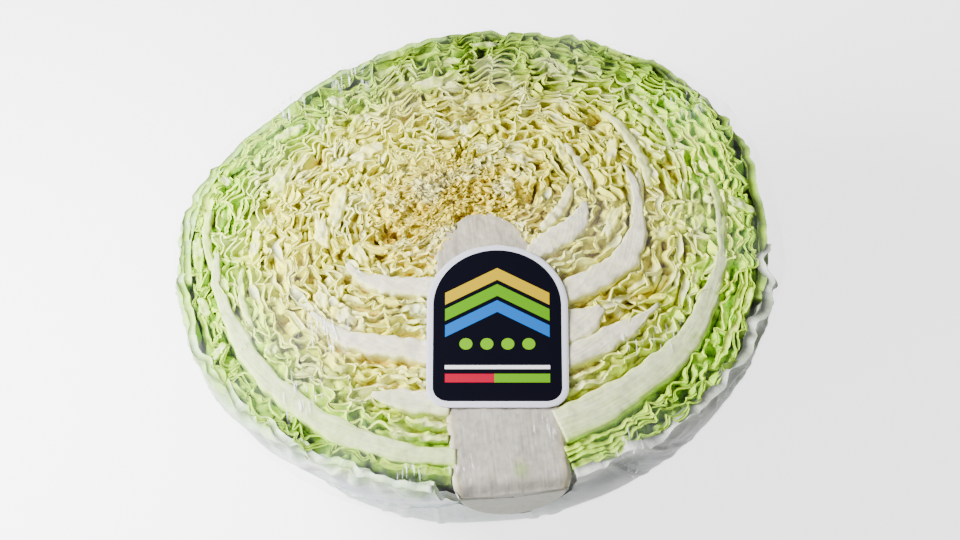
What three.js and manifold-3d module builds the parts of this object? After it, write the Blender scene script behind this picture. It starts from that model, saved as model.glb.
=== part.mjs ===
// A savoy cabbage cut in half lengthwise, lying on its round back with the cut face up, with
// a label on the cut face and the gathered seam of its cling film under it. The film itself
// is a hundredth of a millimetre thick, so only the seam is a solid. Millimetres, +Z up.
// The stem end points along -Y, the top of the head along +Y, and the origin is on the
// ground under the middle of the head.
//
// The leaves lie in shells that are scaled copies of the outside about the growing point.
// A level is such a scale: 1 is the outside, 0 the growing point. An angle goes round the
// cut face from the stem end (0) to the top of the head (180), to the right for side +1
// and to the left for side -1. A drop is a depth below the cut face.
import * as THREE from 'three';
import Module from 'manifold-3d';

const wasm = await Module();
wasm.setup();

// Head
const halfWidth = 100;
const halfLength = 87.5;
const depth = 93.5;
const cutHeight = 92; // the lowest 1.5 mm of the dome is pressed flat: the rest spot
const growth = { x: -6.5, y: 20 };
const upperRightSwell = 0.04;
const upperLeftHollow = 0.05;
const meanRadius = (halfWidth + halfLength) / 2;

// Stalk: its radius at places along Y, from the cut butt to the blunt tip
const stalkX = 2.3;
const stalkStations = [[-86.5, 17.5], [-84, 19], [-40, 18], [0, 16.5], [8, 13], [12.5, 8.5], [15, 2.5]];
const stalkSides = 12;

// Leaves of each side from the outside in. foot: height of the leaf's foot on the stalk.
// far: its share of the head's thickness. rib: degrees over which the cut runs along the
// thick midrib before it comes out into the thin blade.
const leafRows = {
  right: [
    { foot: 13, far: 5.1, rib: 0 }, { foot: 14.5, far: 7.5, rib: 78 },
    { foot: 8, far: 6.5, rib: 0 }, { foot: 10, far: 6.5, rib: 38 },
    { foot: 14.5, far: 5.5, rib: 22 }, { foot: 10, far: 6.5, rib: 80 },
    { foot: 7, far: 8.5, rib: 0 }, { foot: 9, far: 7, rib: 48 },
    { foot: 4.5, far: 5.2, rib: 0 }, { foot: 3.5, far: 5.3, rib: 0 },
  ],
  left: [
    { foot: 5, far: 3.1, rib: 0 }, { foot: 12, far: 8.5, rib: 85 },
    { foot: 9, far: 5.5, rib: 0 }, { foot: 9.5, far: 5.5, rib: 20 },
    { foot: 9.5, far: 5.5, rib: 0 }, { foot: 9.5, far: 7.5, rib: 50 },
    { foot: 8.5, far: 6, rib: 0 }, { foot: 7.5, far: 6.5, rib: 0 },
    { foot: 8.5, far: 6.5, rib: 54 }, { foot: 8, far: 5, rib: 0 },
    { foot: 7, far: 5, rib: 0 },
  ],
};
const lowestFootY = { right: -85, left: -86 };
const outerFarLevel = 0.911;
const heartFarLevel = 0.3;
const sweepAngle = 55; // a leaf leaves the stalk and reaches its own shell over this angle
const leafMargin = 0.5; // kept free on each face of a leaf's own space by its blade
const bodyMargin = 0.9; // and by its coarser body
const thinnestBody = 1.4;
const bladeThickness = 1.3;
const footThickness = 3.2;
const crinkleStep = 4.8; // half a crinkle of the blade's edge
const widestBend = 3.2;
const bladeDrop = 13; // the thin blade stands this tall out of the leaf's thicker body
const shoulderDrop = 14.5;
const mostOfDepth = 0.63; // the shoulder's greatest share of a small shell's own depth
const bodyBend = 45;
const bodyEnd = 75;
const outerBodyBend = 38; // the outermost body stops higher, clear of the wrapper leaves
const outerBodyEnd = 58;
const smallBodyEnd = 52; // the innermost bodies stop higher, clear of the heart
const smallBodyLevels = [0.12, 0.4];
const deepBodyTurns = [35, 50]; // past these turns the bodies keep inside three wrapper leaves
const fewestBodySteps = 7;
const endGap = 1.6;
const seamWander = 9;
const seamWaves = 11;

// Wrapper leaves: a net of raised veins with a pit in each mesh
const wrapperThickness = 2.2;
const vein = 0.3;
const pitDepth = 1.6;
const layerDrop = 0.032; // level taken by one wrapper leaf and the gap under it
const stemOpening = 13.5;
const rimLap = { right: [68, 108], left: [78, 148] }; // where two of them overlap at the rim
const rimLapRamp = { before: 14, after: 10 };
const stemLap = [25, 45]; // the left side lies under two of them near the stem

// Heart: small crumpled leaves on a core
const heartLevels = [0.9, 0.72, 0.54, 0.36, 0.2];
const heartBladeDrop = 9.5;
const heartCoreDrop = 8;
const heartCrinkleStep = 4.2;
const heartSwing = 0.042; // a crinkle's reach as a share of the heart's own level there
const heartCoreShare = 0.83;
const heartCoreSides = 24;
const heartCoreSlopes = [42, 68, 86];
const heartMeeting = 40; // degrees over which the two sides' boundaries are joined

// Film seam: pleats drawn together round the rest spot
const seamFolds = 26;
const seamSlopes = [52, 60, 68, 73];
const seamLift = 0.5;
const seamPleat = 1.1;
const seamThickness = 0.7;

// Label
const labelWidth = 46;
const labelLength = 60;
const labelThickness = 0.5;
const labelCentre = { x: 3.7, y: -27.7 };
const labelTurn = -6.3;
const labelCorner = 7;

const contactGap = 0.35;

const radians = (degrees) => (degrees * Math.PI) / 180;
const mix = (a, b, t) => a + (b - a) * t;
const clamp = (value, low, high) => Math.min(high, Math.max(low, value));
const asLevel = (millimetres) => millimetres / meanRadius;

function smoothstep(low, high, value) {
  const t = clamp((value - low) / (high - low), 0, 1);
  return t * t * (3 - 2 * t);
}

// 1 at the centre, falling as a cosine to 0 at the half-width
function bump(value, centre, width) {
  const t = clamp((value - centre) / width, -1, 1);
  return 0.5 + 0.5 * Math.cos(Math.PI * t);
}

// Repeatable random numbers from 0 to 1
function randomFrom(seed) {
  let state = seed;
  return () => {
    state = (state + 0x6d2b79f5) | 0;
    let value = Math.imul(state ^ (state >>> 15), 1 | state);
    value = (value + Math.imul(value ^ (value >>> 7), 61 | value)) ^ value;
    return ((value ^ (value >>> 14)) >>> 0) / 4294967296;
  };
}

// The plan outline's departure from an ellipse
function outline(degreesRound) {
  const turn = (degreesRound + 360) % 360;
  return 1 + upperRightSwell * bump(turn, 132, 50) - upperLeftHollow * bump(turn, 212, 45);
}

// A point of the shell at a level, in the direction (x, y, z) of a unit sphere, z from -1 to 0
function shellPoint(level, x, y, z) {
  const swell = outline((Math.atan2(x, -y) * 180) / Math.PI);
  return [
    growth.x * (1 - level) + level * halfWidth * swell * x,
    growth.y * (1 - level) + level * halfLength * swell * y,
    cutHeight + level * depth * z,
  ];
}

// The same point by the angle round the cut face and the slope below it
function shellAt(side, level, angle, slope) {
  const flat = Math.cos(radians(slope));
  return shellPoint(
    level,
    side * flat * Math.sin(radians(angle)),
    -flat * Math.cos(radians(angle)),
    -Math.sin(radians(slope)),
  );
}

// The slope at which a shell is a drop below the cut face; the smallest shells stop short
function slopeOfDrop(level, drop) {
  const share = Math.min(drop / (level * depth), (mostOfDepth * drop) / shoulderDrop);
  return (Math.asin(share) * 180) / Math.PI;
}

// Gathers triangles and merges their shared corners
class Body {
  constructor() {
    this.positions = [];
    this.corners = [];
    this.places = new Map();
  }

  vertex(point) {
    const key = point.map((value) => Math.round(value * 1e4)).join();
    if (!this.places.has(key)) {
      this.places.set(key, this.positions.length / 3);
      this.positions.push(...point);
    }
    return this.places.get(key);
  }

  triangle(a, b, c) {
    const [i, j, k] = [this.vertex(a), this.vertex(b), this.vertex(c)];
    if (i !== j && j !== k && k !== i) this.corners.push(i, j, k);
  }

  quad(a, b, c, d) {
    this.triangle(a, b, c);
    this.triangle(a, c, d);
  }

  // Turns the faces outward, whichever way they were gathered
  faceOut() {
    let volume = 0;
    const corner = (i) => new THREE.Vector3(...this.positions.slice(3 * i, 3 * i + 3));
    for (let i = 0; i < this.corners.length; i += 3) {
      const [a, b, c] = [0, 1, 2].map((n) => corner(this.corners[i + n]));
      volume += a.dot(b.cross(c));
    }
    if (volume < 0) this.corners.reverse();
    return this;
  }

  solid() {
    this.faceOut();
    return new wasm.Manifold(new wasm.Mesh({
      numProp: 3,
      vertProperties: new Float32Array(this.positions),
      triVerts: new Uint32Array(this.corners),
    }));
  }

  geometry() {
    this.faceOut();
    return geometryFrom(this.positions, this.corners);
  }
}

function geometryFrom(positions, corners) {
  const geometry = new THREE.BufferGeometry();
  geometry.setAttribute('position', new THREE.Float32BufferAttribute(positions, 3));
  geometry.setIndex(Array.from(corners));
  geometry.computeVertexNormals();
  return geometry;
}

// A cut can leave loose crumbs beside the piece: only the piece is kept
function geometryOfSolid(solid) {
  const pieces = solid.decompose().sort((a, b) => b.volume() - a.volume());
  const mesh = pieces[0].getMesh();
  return geometryFrom(mesh.vertProperties, mesh.triVerts);
}

// Skin over closed rings with the same number of points, capped by a fan at each end
function loft(rings) {
  const body = new Body();
  const count = rings[0].length;
  for (let i = 0; i + 1 < rings.length; i += 1) {
    for (let j = 0; j < count; j += 1) {
      const k = (j + 1) % count;
      body.quad(rings[i][j], rings[i][k], rings[i + 1][k], rings[i + 1][j]);
    }
  }
  const [first, last] = [rings[0], rings[rings.length - 1]];
  for (let j = 1; j + 1 < count; j += 1) {
    body.triangle(first[0], first[j + 1], first[j]);
    body.triangle(last[0], last[j], last[j + 1]);
  }
  return body;
}

function stalkRadius(y) {
  const next = stalkStations.findIndex(([place]) => place >= y);
  if (next === 0) return stalkStations[0][1];
  if (next < 0) return 0;
  const [[y0, r0], [y1, r1]] = [stalkStations[next - 1], stalkStations[next]];
  return mix(r0, r1, (y - y0) / (y1 - y0));
}

// Half of a round stalk, grown by a clearance when it cuts the leaves free of itself
function stalkBody(clearance) {
  const top = cutHeight + (clearance > 0 ? 1 : 0);
  const rings = stalkStations.map(([place, radius], index) => {
    const tip = place > 0 ? clearance : 0;
    const y = place + (index === 0 ? -clearance : tip);
    const ring = [];
    for (let i = 0; i <= stalkSides; i += 1) {
      const turn = (Math.PI * i) / stalkSides;
      const reach = radius + clearance;
      ring.push([stalkX - reach * Math.cos(turn), y, cutHeight - reach * Math.sin(turn)]);
    }
    if (clearance > 0) {
      ring.push([ring[stalkSides][0], y, top], [ring[0][0], y, top]);
    }
    return ring;
  });
  return loft(rings);
}

const stalkClearance = stalkBody(contactGap).solid();

// The level and angle of the shell that passes through a point of the cut face
function shellThrough(side, x, y) {
  let [low, high] = [0.01, 1.2];
  let angle = 0;
  for (let i = 0; i < 40; i += 1) {
    const level = (low + high) / 2;
    const across = side * (x - growth.x * (1 - level)) / (level * halfWidth);
    const along = (y - growth.y * (1 - level)) / (level * halfLength);
    angle = (Math.atan2(across, -along) * 180) / Math.PI;
    if (Math.hypot(across, along) > outline(side * angle)) low = level;
    else high = level;
  }
  return { level: low, angle };
}

const sideName = (side) => (side > 0 ? 'right' : 'left');

// Where two wrapper leaves overlap at the rim, the outermost leaf keeps clear of the inner one
function rimLevel(side, angle) {
  const [lapStart, lapEnd] = rimLap[sideName(side)];
  const pastLap = smoothstep(lapEnd, lapEnd + rimLapRamp.after, angle);
  const lapped = smoothstep(lapStart - rimLapRamp.before, lapStart, angle) * (1 - pastLap);
  const atStem = side < 0 ? 1 - smoothstep(...stemLap, angle) : 0;
  return 1 - layerDrop * (1 + lapped + atStem);
}

// Below the rim the bodies keep inside two wrapper leaves, and inside three past the middle
const bodyLimit = (angle) => mix(1 - 2 * layerDrop, outerFarLevel, smoothstep(...deepBodyTurns, angle));

// Boundaries between one side's leaves: boundary k is outside leaf k and inside leaf k - 1
function boundariesOf(side) {
  const leaves = leafRows[sideName(side)];
  const farTotal = leaves.reduce((sum, leaf) => sum + leaf.far, 0);
  let [footY, farSum] = [lowestFootY[sideName(side)], 0];
  const boundaries = [];
  for (let k = 0; k <= leaves.length; k += 1) {
    const foot = shellThrough(side, stalkX + side * stalkRadius(footY), footY);
    const far = mix(outerFarLevel, heartFarLevel, farSum / farTotal);
    boundaries.push({ foot, far });
    if (k < leaves.length) {
      footY += leaves[k].foot;
      farSum += leaves[k].far;
    }
  }
  return boundaries;
}

const boundaries = { right: boundariesOf(1), left: boundariesOf(-1) };

function boundaryLevel(side, k, angle) {
  const rim = rimLevel(side, angle);
  if (k === 0) return rim;
  const { foot, far } = boundaries[sideName(side)][k];
  const reached = mix(foot.level, far, smoothstep(foot.angle, foot.angle + sweepAngle, angle));
  return Math.min(reached, rim - k * asLevel(bladeThickness + 2 * leafMargin));
}

// The same boundary between the bodies, each of which keeps room for the ones outside it
function bodyBoundary(side, k, angle) {
  const room = k * asLevel(thinnestBody + 2 * bodyMargin);
  return Math.min(boundaryLevel(side, k, angle), bodyLimit(angle) - room);
}

// Left and right leaves meet near the top of the head along a seam that wanders with the level
const seamAngle = (side, level) => 180 + side * seamWander * Math.sin(seamWaves * level + 0.6);

// Half the gap left at that seam, in degrees round a shell at a slope
function halfEndGap(level, slope) {
  const radius = meanRadius * level * Math.cos(radians(slope));
  return (endGap / 2 / radius) * (180 / Math.PI);
}

// The first angle at which a shell comes out of the stalk's side, taken a little inside it
function startAngle(side, levelAt) {
  for (let angle = 0; angle < 120; angle += 1) {
    const [x, y] = shellAt(side, levelAt(angle), angle, 0);
    if (side * (x - stalkX) > stalkRadius(y) - 4) return Math.max(angle, 4);
  }
  return 120;
}

// The blade's zigzag: each step's place from 0 to 1 and its bend, which alternates in side
// and is random in size
function crinkles(count, random) {
  return Array.from({ length: count + 1 }, (_, i) => ({
    place: (i + (i > 0 && i < count ? 0.5 * (random() - 0.5) : 0)) / count,
    bend: (i % 2 ? 1 : -1) * (0.35 + 0.65 * random()),
  }));
}

// One half of a cut leaf: a thin crinkled blade up to the cut face on a thicker body that
// follows the shell down round the head. The blade has three steps for each of the body's.
function leafGeometry(side, k) {
  const { rib } = leafRows[sideName(side)][k];
  const middle = (angle) => (boundaryLevel(side, k, angle) + boundaryLevel(side, k + 1, angle)) / 2;
  const start = startAngle(side, middle);
  const arc = radians(180 - start) * meanRadius * middle(120);
  const coarse = Math.max(fewestBodySteps, Math.round(arc / (3 * crinkleStep)));
  const bends = crinkles(3 * coarse, randomFrom(100 * k + (side > 0 ? 7 : 53)));
  const [bodyMiddle, bodyLowest] = k === 0 ? [outerBodyBend, outerBodyEnd] : [bodyBend, bodyEnd];

  const sections = bends.map(({ place, bend }) => {
    const angle = mix(start, 180, place);
    const outer = boundaryLevel(side, k, angle) - asLevel(leafMargin);
    const inner = boundaryLevel(side, k + 1, angle) + asLevel(leafMargin);
    const halfSpace = (outer - inner) / 2;
    const past = angle - start;
    const thinning = rib ? smoothstep(0.55 * rib, rib, past) : smoothstep(0, 25, past);
    const thick = rib ? halfSpace : Math.min(asLevel(footThickness / 2), halfSpace);
    const half = mix(thick, asLevel(bladeThickness / 2), thinning);
    const shift = Math.min(halfSpace - half, asLevel(widestBend)) * bend * thinning;
    const centre = (outer + inner) / 2;
    const below = (level, slope) => {
      const end = seamAngle(side, level) - halfEndGap(level, slope);
      return shellAt(side, level, mix(start, end, place), slope);
    };
    const at = (level, drop) => below(level, slopeOfDrop(level, drop));
    const bodyOuter = bodyBoundary(side, k, angle) - asLevel(bodyMargin);
    const bodyInner = bodyBoundary(side, k + 1, angle) + asLevel(bodyMargin);
    const lowest = mix(smallBodyEnd, bodyLowest, smoothstep(...smallBodyLevels, bodyInner));
    return {
      bladeTop: [at(centre + shift + half, 0), at(centre + shift - half, 0)],
      bladeFoot: [at(centre - 0.4 * shift + half, bladeDrop), at(centre - 0.4 * shift - half, bladeDrop)],
      rings: [
        [at(bodyOuter, shoulderDrop), at(bodyInner, shoulderDrop)],
        [below(bodyOuter, bodyMiddle), below(bodyInner, bodyMiddle)],
        [below(bodyOuter, lowest), below(bodyInner, lowest)],
      ],
    };
  });

  const body = new Body();
  for (let i = 0; i + 1 < sections.length; i += 1) {
    const [a, b] = [sections[i], sections[i + 1]];
    body.quad(a.bladeTop[0], a.bladeTop[1], b.bladeTop[1], b.bladeTop[0]);
    body.quad(a.bladeFoot[0], a.bladeTop[0], b.bladeTop[0], b.bladeFoot[0]);
    body.quad(a.bladeTop[1], a.bladeFoot[1], b.bladeFoot[1], b.bladeTop[1]);
  }
  for (let i = 0; i + 3 < sections.length; i += 3) {
    const [a, , , b] = sections.slice(i, i + 4);
    const feet = sections.slice(i, i + 4).map((section) => section.bladeFoot);
    shoulder(body, a.rings[0][0], b.rings[0][0], feet.map((foot) => foot[0]), false);
    shoulder(body, a.rings[0][1], b.rings[0][1], feet.map((foot) => foot[1]), true);
    for (let level = 0; level < 2; level += 1) {
      const [top, low] = [a.rings[level], a.rings[level + 1]];
      const [nextTop, nextLow] = [b.rings[level], b.rings[level + 1]];
      body.quad(low[0], top[0], nextTop[0], nextLow[0]);
      body.quad(top[1], low[1], nextLow[1], nextTop[1]);
    }
    body.quad(a.rings[2][1], a.rings[2][0], b.rings[2][0], b.rings[2][1]);
  }
  closeEnd(body, sections[0], false);
  closeEnd(body, sections[sections.length - 1], true);
  return geometryOfSolid(body.solid().subtract(stalkClearance));
}

// Joins one edge of the body to the three steps of the blade's foot above it
function shoulder(body, a, b, feet, inside) {
  const strip = [[a, feet[0], feet[1]], [a, feet[1], feet[2]], [a, feet[2], b], [b, feet[2], feet[3]]];
  for (const [p, q, r] of strip) {
    if (inside) body.triangle(p, r, q);
    else body.triangle(p, q, r);
  }
}

// Closes a leaf's cut-off end over its blade and its body
function closeEnd(body, section, last) {
  const pairs = [section.bladeTop, section.bladeFoot, ...section.rings];
  for (let i = 0; i + 1 < pairs.length; i += 1) {
    const [[a, b], [d, c]] = [pairs[i], pairs[i + 1]];
    if (last) body.quad(a, b, c, d);
    else body.quad(a, d, c, b);
  }
}

// Wrapper leaves lie by latitude, from the stem end (0) to the top of the head (180), and
// longitude, from the left rim (-90) under the head (0) to the right rim (90).
function wrapperPoint(level, latitude, longitude) {
  const ring = Math.sin(radians(latitude));
  const [x, y] = [ring * Math.sin(radians(longitude)), -Math.cos(radians(latitude))];
  return shellPoint(level, x, y, -ring * Math.cos(radians(longitude)));
}

// The outermost wrapper: from the stem end under the head and up its right side
const outerTip = (longitude) => 108 + 6 * Math.cos(radians(2 * (longitude - 30)))
  + 2 * Math.sin(radians(9 * longitude)) - 22 * smoothstep(35, 85, longitude);
const outerFreeEdge = (latitude) => -44 - 10 * bump(latitude, 70, 50)
  + 2.5 * Math.sin(radians(7 * latitude));

// 1 where one leaf lies over another, to 0 past its edge, where the other comes up beside it
const lapNear = 13;
const lapFar = 28;

function underOuter(latitude, longitude) {
  const past = [outerFreeEdge(latitude) - longitude, latitude - outerTip(longitude)];
  return (1 - smoothstep(lapNear, lapFar, past[0])) * (1 - smoothstep(lapNear, lapFar, past[1]));
}

// The left wrapper: up the left side, under the outermost one in the middle
const leftTip = (longitude) => 122 + 8 * Math.cos(radians(2 * (longitude + 50)))
  + 2 * Math.sin(radians(11 * longitude));
const leftInnerEdge = -8;

function underLeft(latitude, longitude) {
  const past = [longitude - leftInnerEdge, latitude - leftTip(longitude)];
  return (1 - smoothstep(lapNear, lapFar, past[0])) * (1 - smoothstep(lapNear, lapFar, past[1]));
}

const topStart = (longitude) => 80 - 0.1 * longitude;

const wrappers = [
  {
    name: 'wrapper_leaf',
    colour: 0xd3dcc0,
    place: (t, v) => {
      const roughLatitude = mix(stemOpening, outerTip(0), t);
      const longitude = mix(outerFreeEdge(roughLatitude), 90, v);
      return [mix(stemOpening, outerTip(longitude), t), longitude];
    },
    level: () => 1,
    midrib: 12,
    rows: 13,
    columns: 16,
  },
  {
    name: 'wrapper_leaf_left',
    colour: 0xb4c987,
    place: (t, v) => {
      const longitude = mix(-90, leftInnerEdge, v);
      return [mix(stemOpening, leftTip(longitude), t), longitude];
    },
    level: (latitude, longitude) => 1 - layerDrop * underOuter(latitude, longitude),
    midrib: -52,
    rows: 15,
    columns: 11,
  },
  {
    name: 'wrapper_leaf_top',
    colour: 0xa7c274,
    place: (t, v) => {
      const longitude = mix(-90, 90, v);
      return [mix(topStart(longitude), 180, t), longitude];
    },
    level: (latitude, longitude) => 1
      - layerDrop * (underOuter(latitude, longitude) + underLeft(latitude, longitude)),
    midrib: 25,
    rows: 12,
    columns: 20,
  },
];

// One wrapper leaf: an outer net of veins with pits between, and a plain inner face
function wrapperGeometry({ place, level, midrib, rows, columns }) {
  const random = randomFrom(rows * 31 + columns);
  const spot = (t, v, depthIn) => {
    const [latitude, longitude] = place(t, v);
    const across = (longitude - midrib) * Math.sin(radians(latitude));
    const onMidrib = Math.exp(-((across / 6) ** 2)) * (1 - smoothstep(60, 130, latitude));
    const underneath = 1 - bump(Math.hypot(latitude - 90, longitude), 0, 34);
    const relief = depthIn === wrapperThickness ? depthIn : depthIn * (1 - onMidrib) * underneath;
    return wrapperPoint(level(latitude, longitude) - asLevel(relief), latitude, longitude);
  };
  const lattice = [];
  for (let i = 0; i <= rows; i += 1) {
    lattice.push([]);
    for (let j = 0; j <= columns; j += 1) {
      const free = i > 0 && i < rows && j > 0 && j < columns;
      const t = (i + (free ? 0.3 * (random() - 0.5) : 0)) / rows;
      const v = (j + (free ? 0.3 * (random() - 0.5) + 0.25 * ((i % 2) - 0.5) : 0)) / columns;
      lattice[i].push({ t, v, outer: spot(t, v, vein), inner: spot(t, v, wrapperThickness) });
    }
  }
  const body = new Body();
  for (let i = 0; i < rows; i += 1) {
    for (let j = 0; j < columns; j += 1) {
      const mesh = [lattice[i][j], lattice[i][j + 1], lattice[i + 1][j + 1], lattice[i + 1][j]];
      const middle = (key) => mesh.reduce((sum, node) => sum + node[key], 0) / 4;
      const pit = spot(middle('t'), middle('v'), pitDepth);
      mesh.forEach((node, n) => body.triangle(node.outer, mesh[(n + 1) % 4].outer, pit));
      body.quad(...[3, 2, 1, 0].map((n) => mesh[n].inner));
    }
  }
  const border = [
    ...lattice[0],
    ...lattice.slice(1).map((row) => row[columns]),
    ...lattice[rows].slice(0, columns).reverse(),
    ...lattice.slice(1, rows).map((row) => row[0]).reverse(),
  ];
  border.forEach((node, n) => {
    const next = border[(n + 1) % border.length];
    body.quad(next.outer, node.outer, node.inner, next.inner);
  });
  return faceted(geometryOfSolid(body.solid().trimByPlane([0, 0, 1], 0)));
}

// The net's pits keep flat sides: every face has corners of its own
function faceted(geometry) {
  const facets = geometry.toNonIndexed();
  facets.computeVertexNormals();
  return facets;
}

// The heart's outer level at a turn round the growing point, from -180 to 180
function heartLevel(turn) {
  const side = turn < 0 ? -1 : 1;
  const [own, other] = [side, -side].map(
    (half) => boundaryLevel(half, leafRows[sideName(half)].length, Math.abs(turn)),
  );
  const meeting = bump(Math.abs(turn), 0, heartMeeting) + bump(Math.abs(turn), 180, heartMeeting);
  return mix(own, Math.min(own, other), clamp(meeting, 0, 1)) - asLevel(leafMargin);
}

function heartCore() {
  const turns = Array.from({ length: heartCoreSides }, (_, i) => -180 + (i * 360) / heartCoreSides);
  const ring = (slopeOf) => turns.map((turn) => {
    const level = heartCoreShare * heartLevel(turn);
    return shellAt(Math.sign(turn) || 1, level, Math.abs(turn), slopeOf(level));
  });
  return loft([
    ring((level) => slopeOfDrop(level, heartCoreDrop)),
    ...heartCoreSlopes.map((slope) => ring(() => slope)),
  ]);
}

// One small crumpled leaf of the heart, standing out of the core
function heartLeaf(side, share, index) {
  const levelAt = (angle) => share * heartLevel(side * angle);
  const start = startAngle(side, levelAt);
  const end = seamAngle(side, levelAt(180)) - 4;
  const steps = Math.max(4, Math.round((radians(end - start) * meanRadius * levelAt(120)) / heartCrinkleStep));
  const bends = crinkles(steps, randomFrom(900 + 10 * index + side));
  const half = asLevel(bladeThickness / 2);
  return loft(bends.map(({ place, bend }) => {
    const angle = mix(start, end, place);
    const swing = heartSwing * heartLevel(side * angle);
    const at = (level, drop) => shellAt(side, level, angle, slopeOfDrop(level, drop));
    const [top, foot] = [levelAt(angle) + swing * bend - half, levelAt(angle) - 0.4 * swing * bend - half];
    const drop = Math.min(heartBladeDrop, 0.8 * foot * depth);
    return [at(top + half, 0), at(top - half, 0), at(foot - half, drop), at(foot + half, drop)];
  }));
}

function heartGeometry() {
  let solid = heartCore().solid();
  heartLevels.forEach((share, index) => {
    for (const side of [1, -1]) solid = solid.add(heartLeaf(side, share, index).solid());
  });
  return geometryOfSolid(solid.subtract(stalkClearance));
}

// Where the film is gathered and sealed under the head it is many layers thick: a ring of
// pleats round the rest spot, deepest at its inner edge
function seamPoint(step, ring, depthIn) {
  const turn = (180 * step) / seamFolds;
  const deepening = (ring + 1) / seamSlopes.length;
  const rise = seamLift + (step % 2 ? seamPleat * deepening : 0) + seamThickness - depthIn;
  return shellAt(1, 1 + asLevel(rise), turn, seamSlopes[ring]);
}

function filmSeamGeometry() {
  const body = new Body();
  const [steps, last] = [2 * seamFolds, seamSlopes.length - 1];
  for (let i = 0; i < steps; i += 1) {
    const next = (i + 1) % steps;
    for (let ring = 0; ring < last; ring += 1) {
      for (const [depthIn, order] of [[0, [0, 1, 2, 3]], [seamThickness, [3, 2, 1, 0]]]) {
        const corners = [[i, ring], [i, ring + 1], [next, ring + 1], [next, ring]];
        body.quad(...order.map((n) => seamPoint(...corners[n], depthIn)));
      }
    }
    for (const [ring, [near, far]] of [[0, [next, i]], [last, [i, next]]]) {
      body.quad(seamPoint(near, ring, 0), seamPoint(near, ring, seamThickness),
        seamPoint(far, ring, seamThickness), seamPoint(far, ring, 0));
    }
  }
  return body.geometry();
}

// A round-topped tag
function labelGeometry() {
  const [w, l] = [labelWidth / 2, labelLength / 2];
  const shape = new THREE.Shape();
  shape.moveTo(-w + labelCorner, -l);
  shape.lineTo(w - labelCorner, -l);
  shape.absarc(w - labelCorner, -l + labelCorner, labelCorner, -Math.PI / 2, 0);
  shape.lineTo(w, l - w);
  shape.absarc(0, l - w, w, 0, Math.PI);
  shape.lineTo(-w, -l + labelCorner);
  shape.absarc(-w + labelCorner, -l + labelCorner, labelCorner, Math.PI, 1.5 * Math.PI);
  return new THREE.ExtrudeGeometry(shape, { depth: labelThickness, bevelEnabled: false, curveSegments: 10 });
}

function namedMesh(name, geometry, colour, roughness, extra = {}) {
  const material = new THREE.MeshStandardMaterial({ color: colour, roughness, metalness: 0, ...extra });
  const mesh = new THREE.Mesh(geometry, material);
  mesh.name = name;
  return mesh;
}

// Leaves go from green at the outside to pale yellow at the heart
function leafColour(k, count) {
  return new THREE.Color(0x93b655).lerp(new THREE.Color(0xe9e3a2), Math.sqrt(k / (count - 1)));
}

const cabbage = new THREE.Group();
cabbage.add(namedMesh('stalk', stalkBody(0).geometry(), 0xebe8d2, 0.55));
cabbage.add(namedMesh('heart', heartGeometry(), 0xe6dc94, 0.6));
for (const side of [1, -1]) {
  leafRows[sideName(side)].forEach((leaf, k, leaves) => {
    const name = `leaf_${sideName(side)}_${String(k + 1).padStart(2, '0')}`;
    cabbage.add(namedMesh(name, leafGeometry(side, k), leafColour(k, leaves.length), 0.6));
  });
}
for (const wrapper of wrappers) {
  cabbage.add(namedMesh(wrapper.name, wrapperGeometry(wrapper), wrapper.colour, 0.55));
}
cabbage.add(namedMesh('cling_film', filmSeamGeometry(), 0xe9eef0, 0.15, { transparent: true, opacity: 0.4 }));

const label = namedMesh('label', labelGeometry(), 0x1a1c22, 0.35);
label.position.set(labelCentre.x, labelCentre.y, cutHeight + contactGap);
label.rotation.z = radians(labelTurn);
cabbage.add(label);

export default cabbage;
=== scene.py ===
"""A savoy cabbage cut in half lengthwise, lying on its round back with the cut face up,
wrapped in cling film with a plain tag on it. Shapes are worked out in millimetres in the
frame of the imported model: +Z up, the stem end along -Y, the top of the head along +Y.

The leaves lie in shells that are scaled copies of the outside about the growing point.
A level is such a scale: 1 is the outside, 0 the growing point. An angle goes round the cut
face from the stem end (0) to the top of the head (180), to the right for side +1 and to
the left for side -1. A drop is a depth below the cut face.
"""

import itertools

import bpy
import numpy as np
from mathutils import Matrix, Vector


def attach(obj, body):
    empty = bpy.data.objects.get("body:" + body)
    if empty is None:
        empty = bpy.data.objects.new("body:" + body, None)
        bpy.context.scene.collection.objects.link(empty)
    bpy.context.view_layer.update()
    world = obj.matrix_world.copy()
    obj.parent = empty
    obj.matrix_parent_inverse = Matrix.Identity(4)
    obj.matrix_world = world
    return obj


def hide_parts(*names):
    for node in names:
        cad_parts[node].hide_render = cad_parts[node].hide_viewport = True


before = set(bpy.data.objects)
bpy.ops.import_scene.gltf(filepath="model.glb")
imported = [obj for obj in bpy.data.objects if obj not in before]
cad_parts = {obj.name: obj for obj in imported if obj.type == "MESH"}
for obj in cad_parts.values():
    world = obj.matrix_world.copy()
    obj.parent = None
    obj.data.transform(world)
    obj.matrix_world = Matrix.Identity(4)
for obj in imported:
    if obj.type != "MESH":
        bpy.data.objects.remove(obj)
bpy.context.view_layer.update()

MM = 0.001

# Head
HALF_WIDTH, HALF_LENGTH, DEPTH, CUT_HEIGHT = 100.0, 87.5, 93.5, 92.0
GROWTH_X, GROWTH_Y = -6.5, 20.0
MEAN_RADIUS = 93.75
STALK_X = 2.3
STALK_STATIONS = [(-86.5, 17.5), (-84, 19), (-40, 18), (0, 16.5), (8, 13), (12.5, 8.5), (15, 2.5)]

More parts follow.
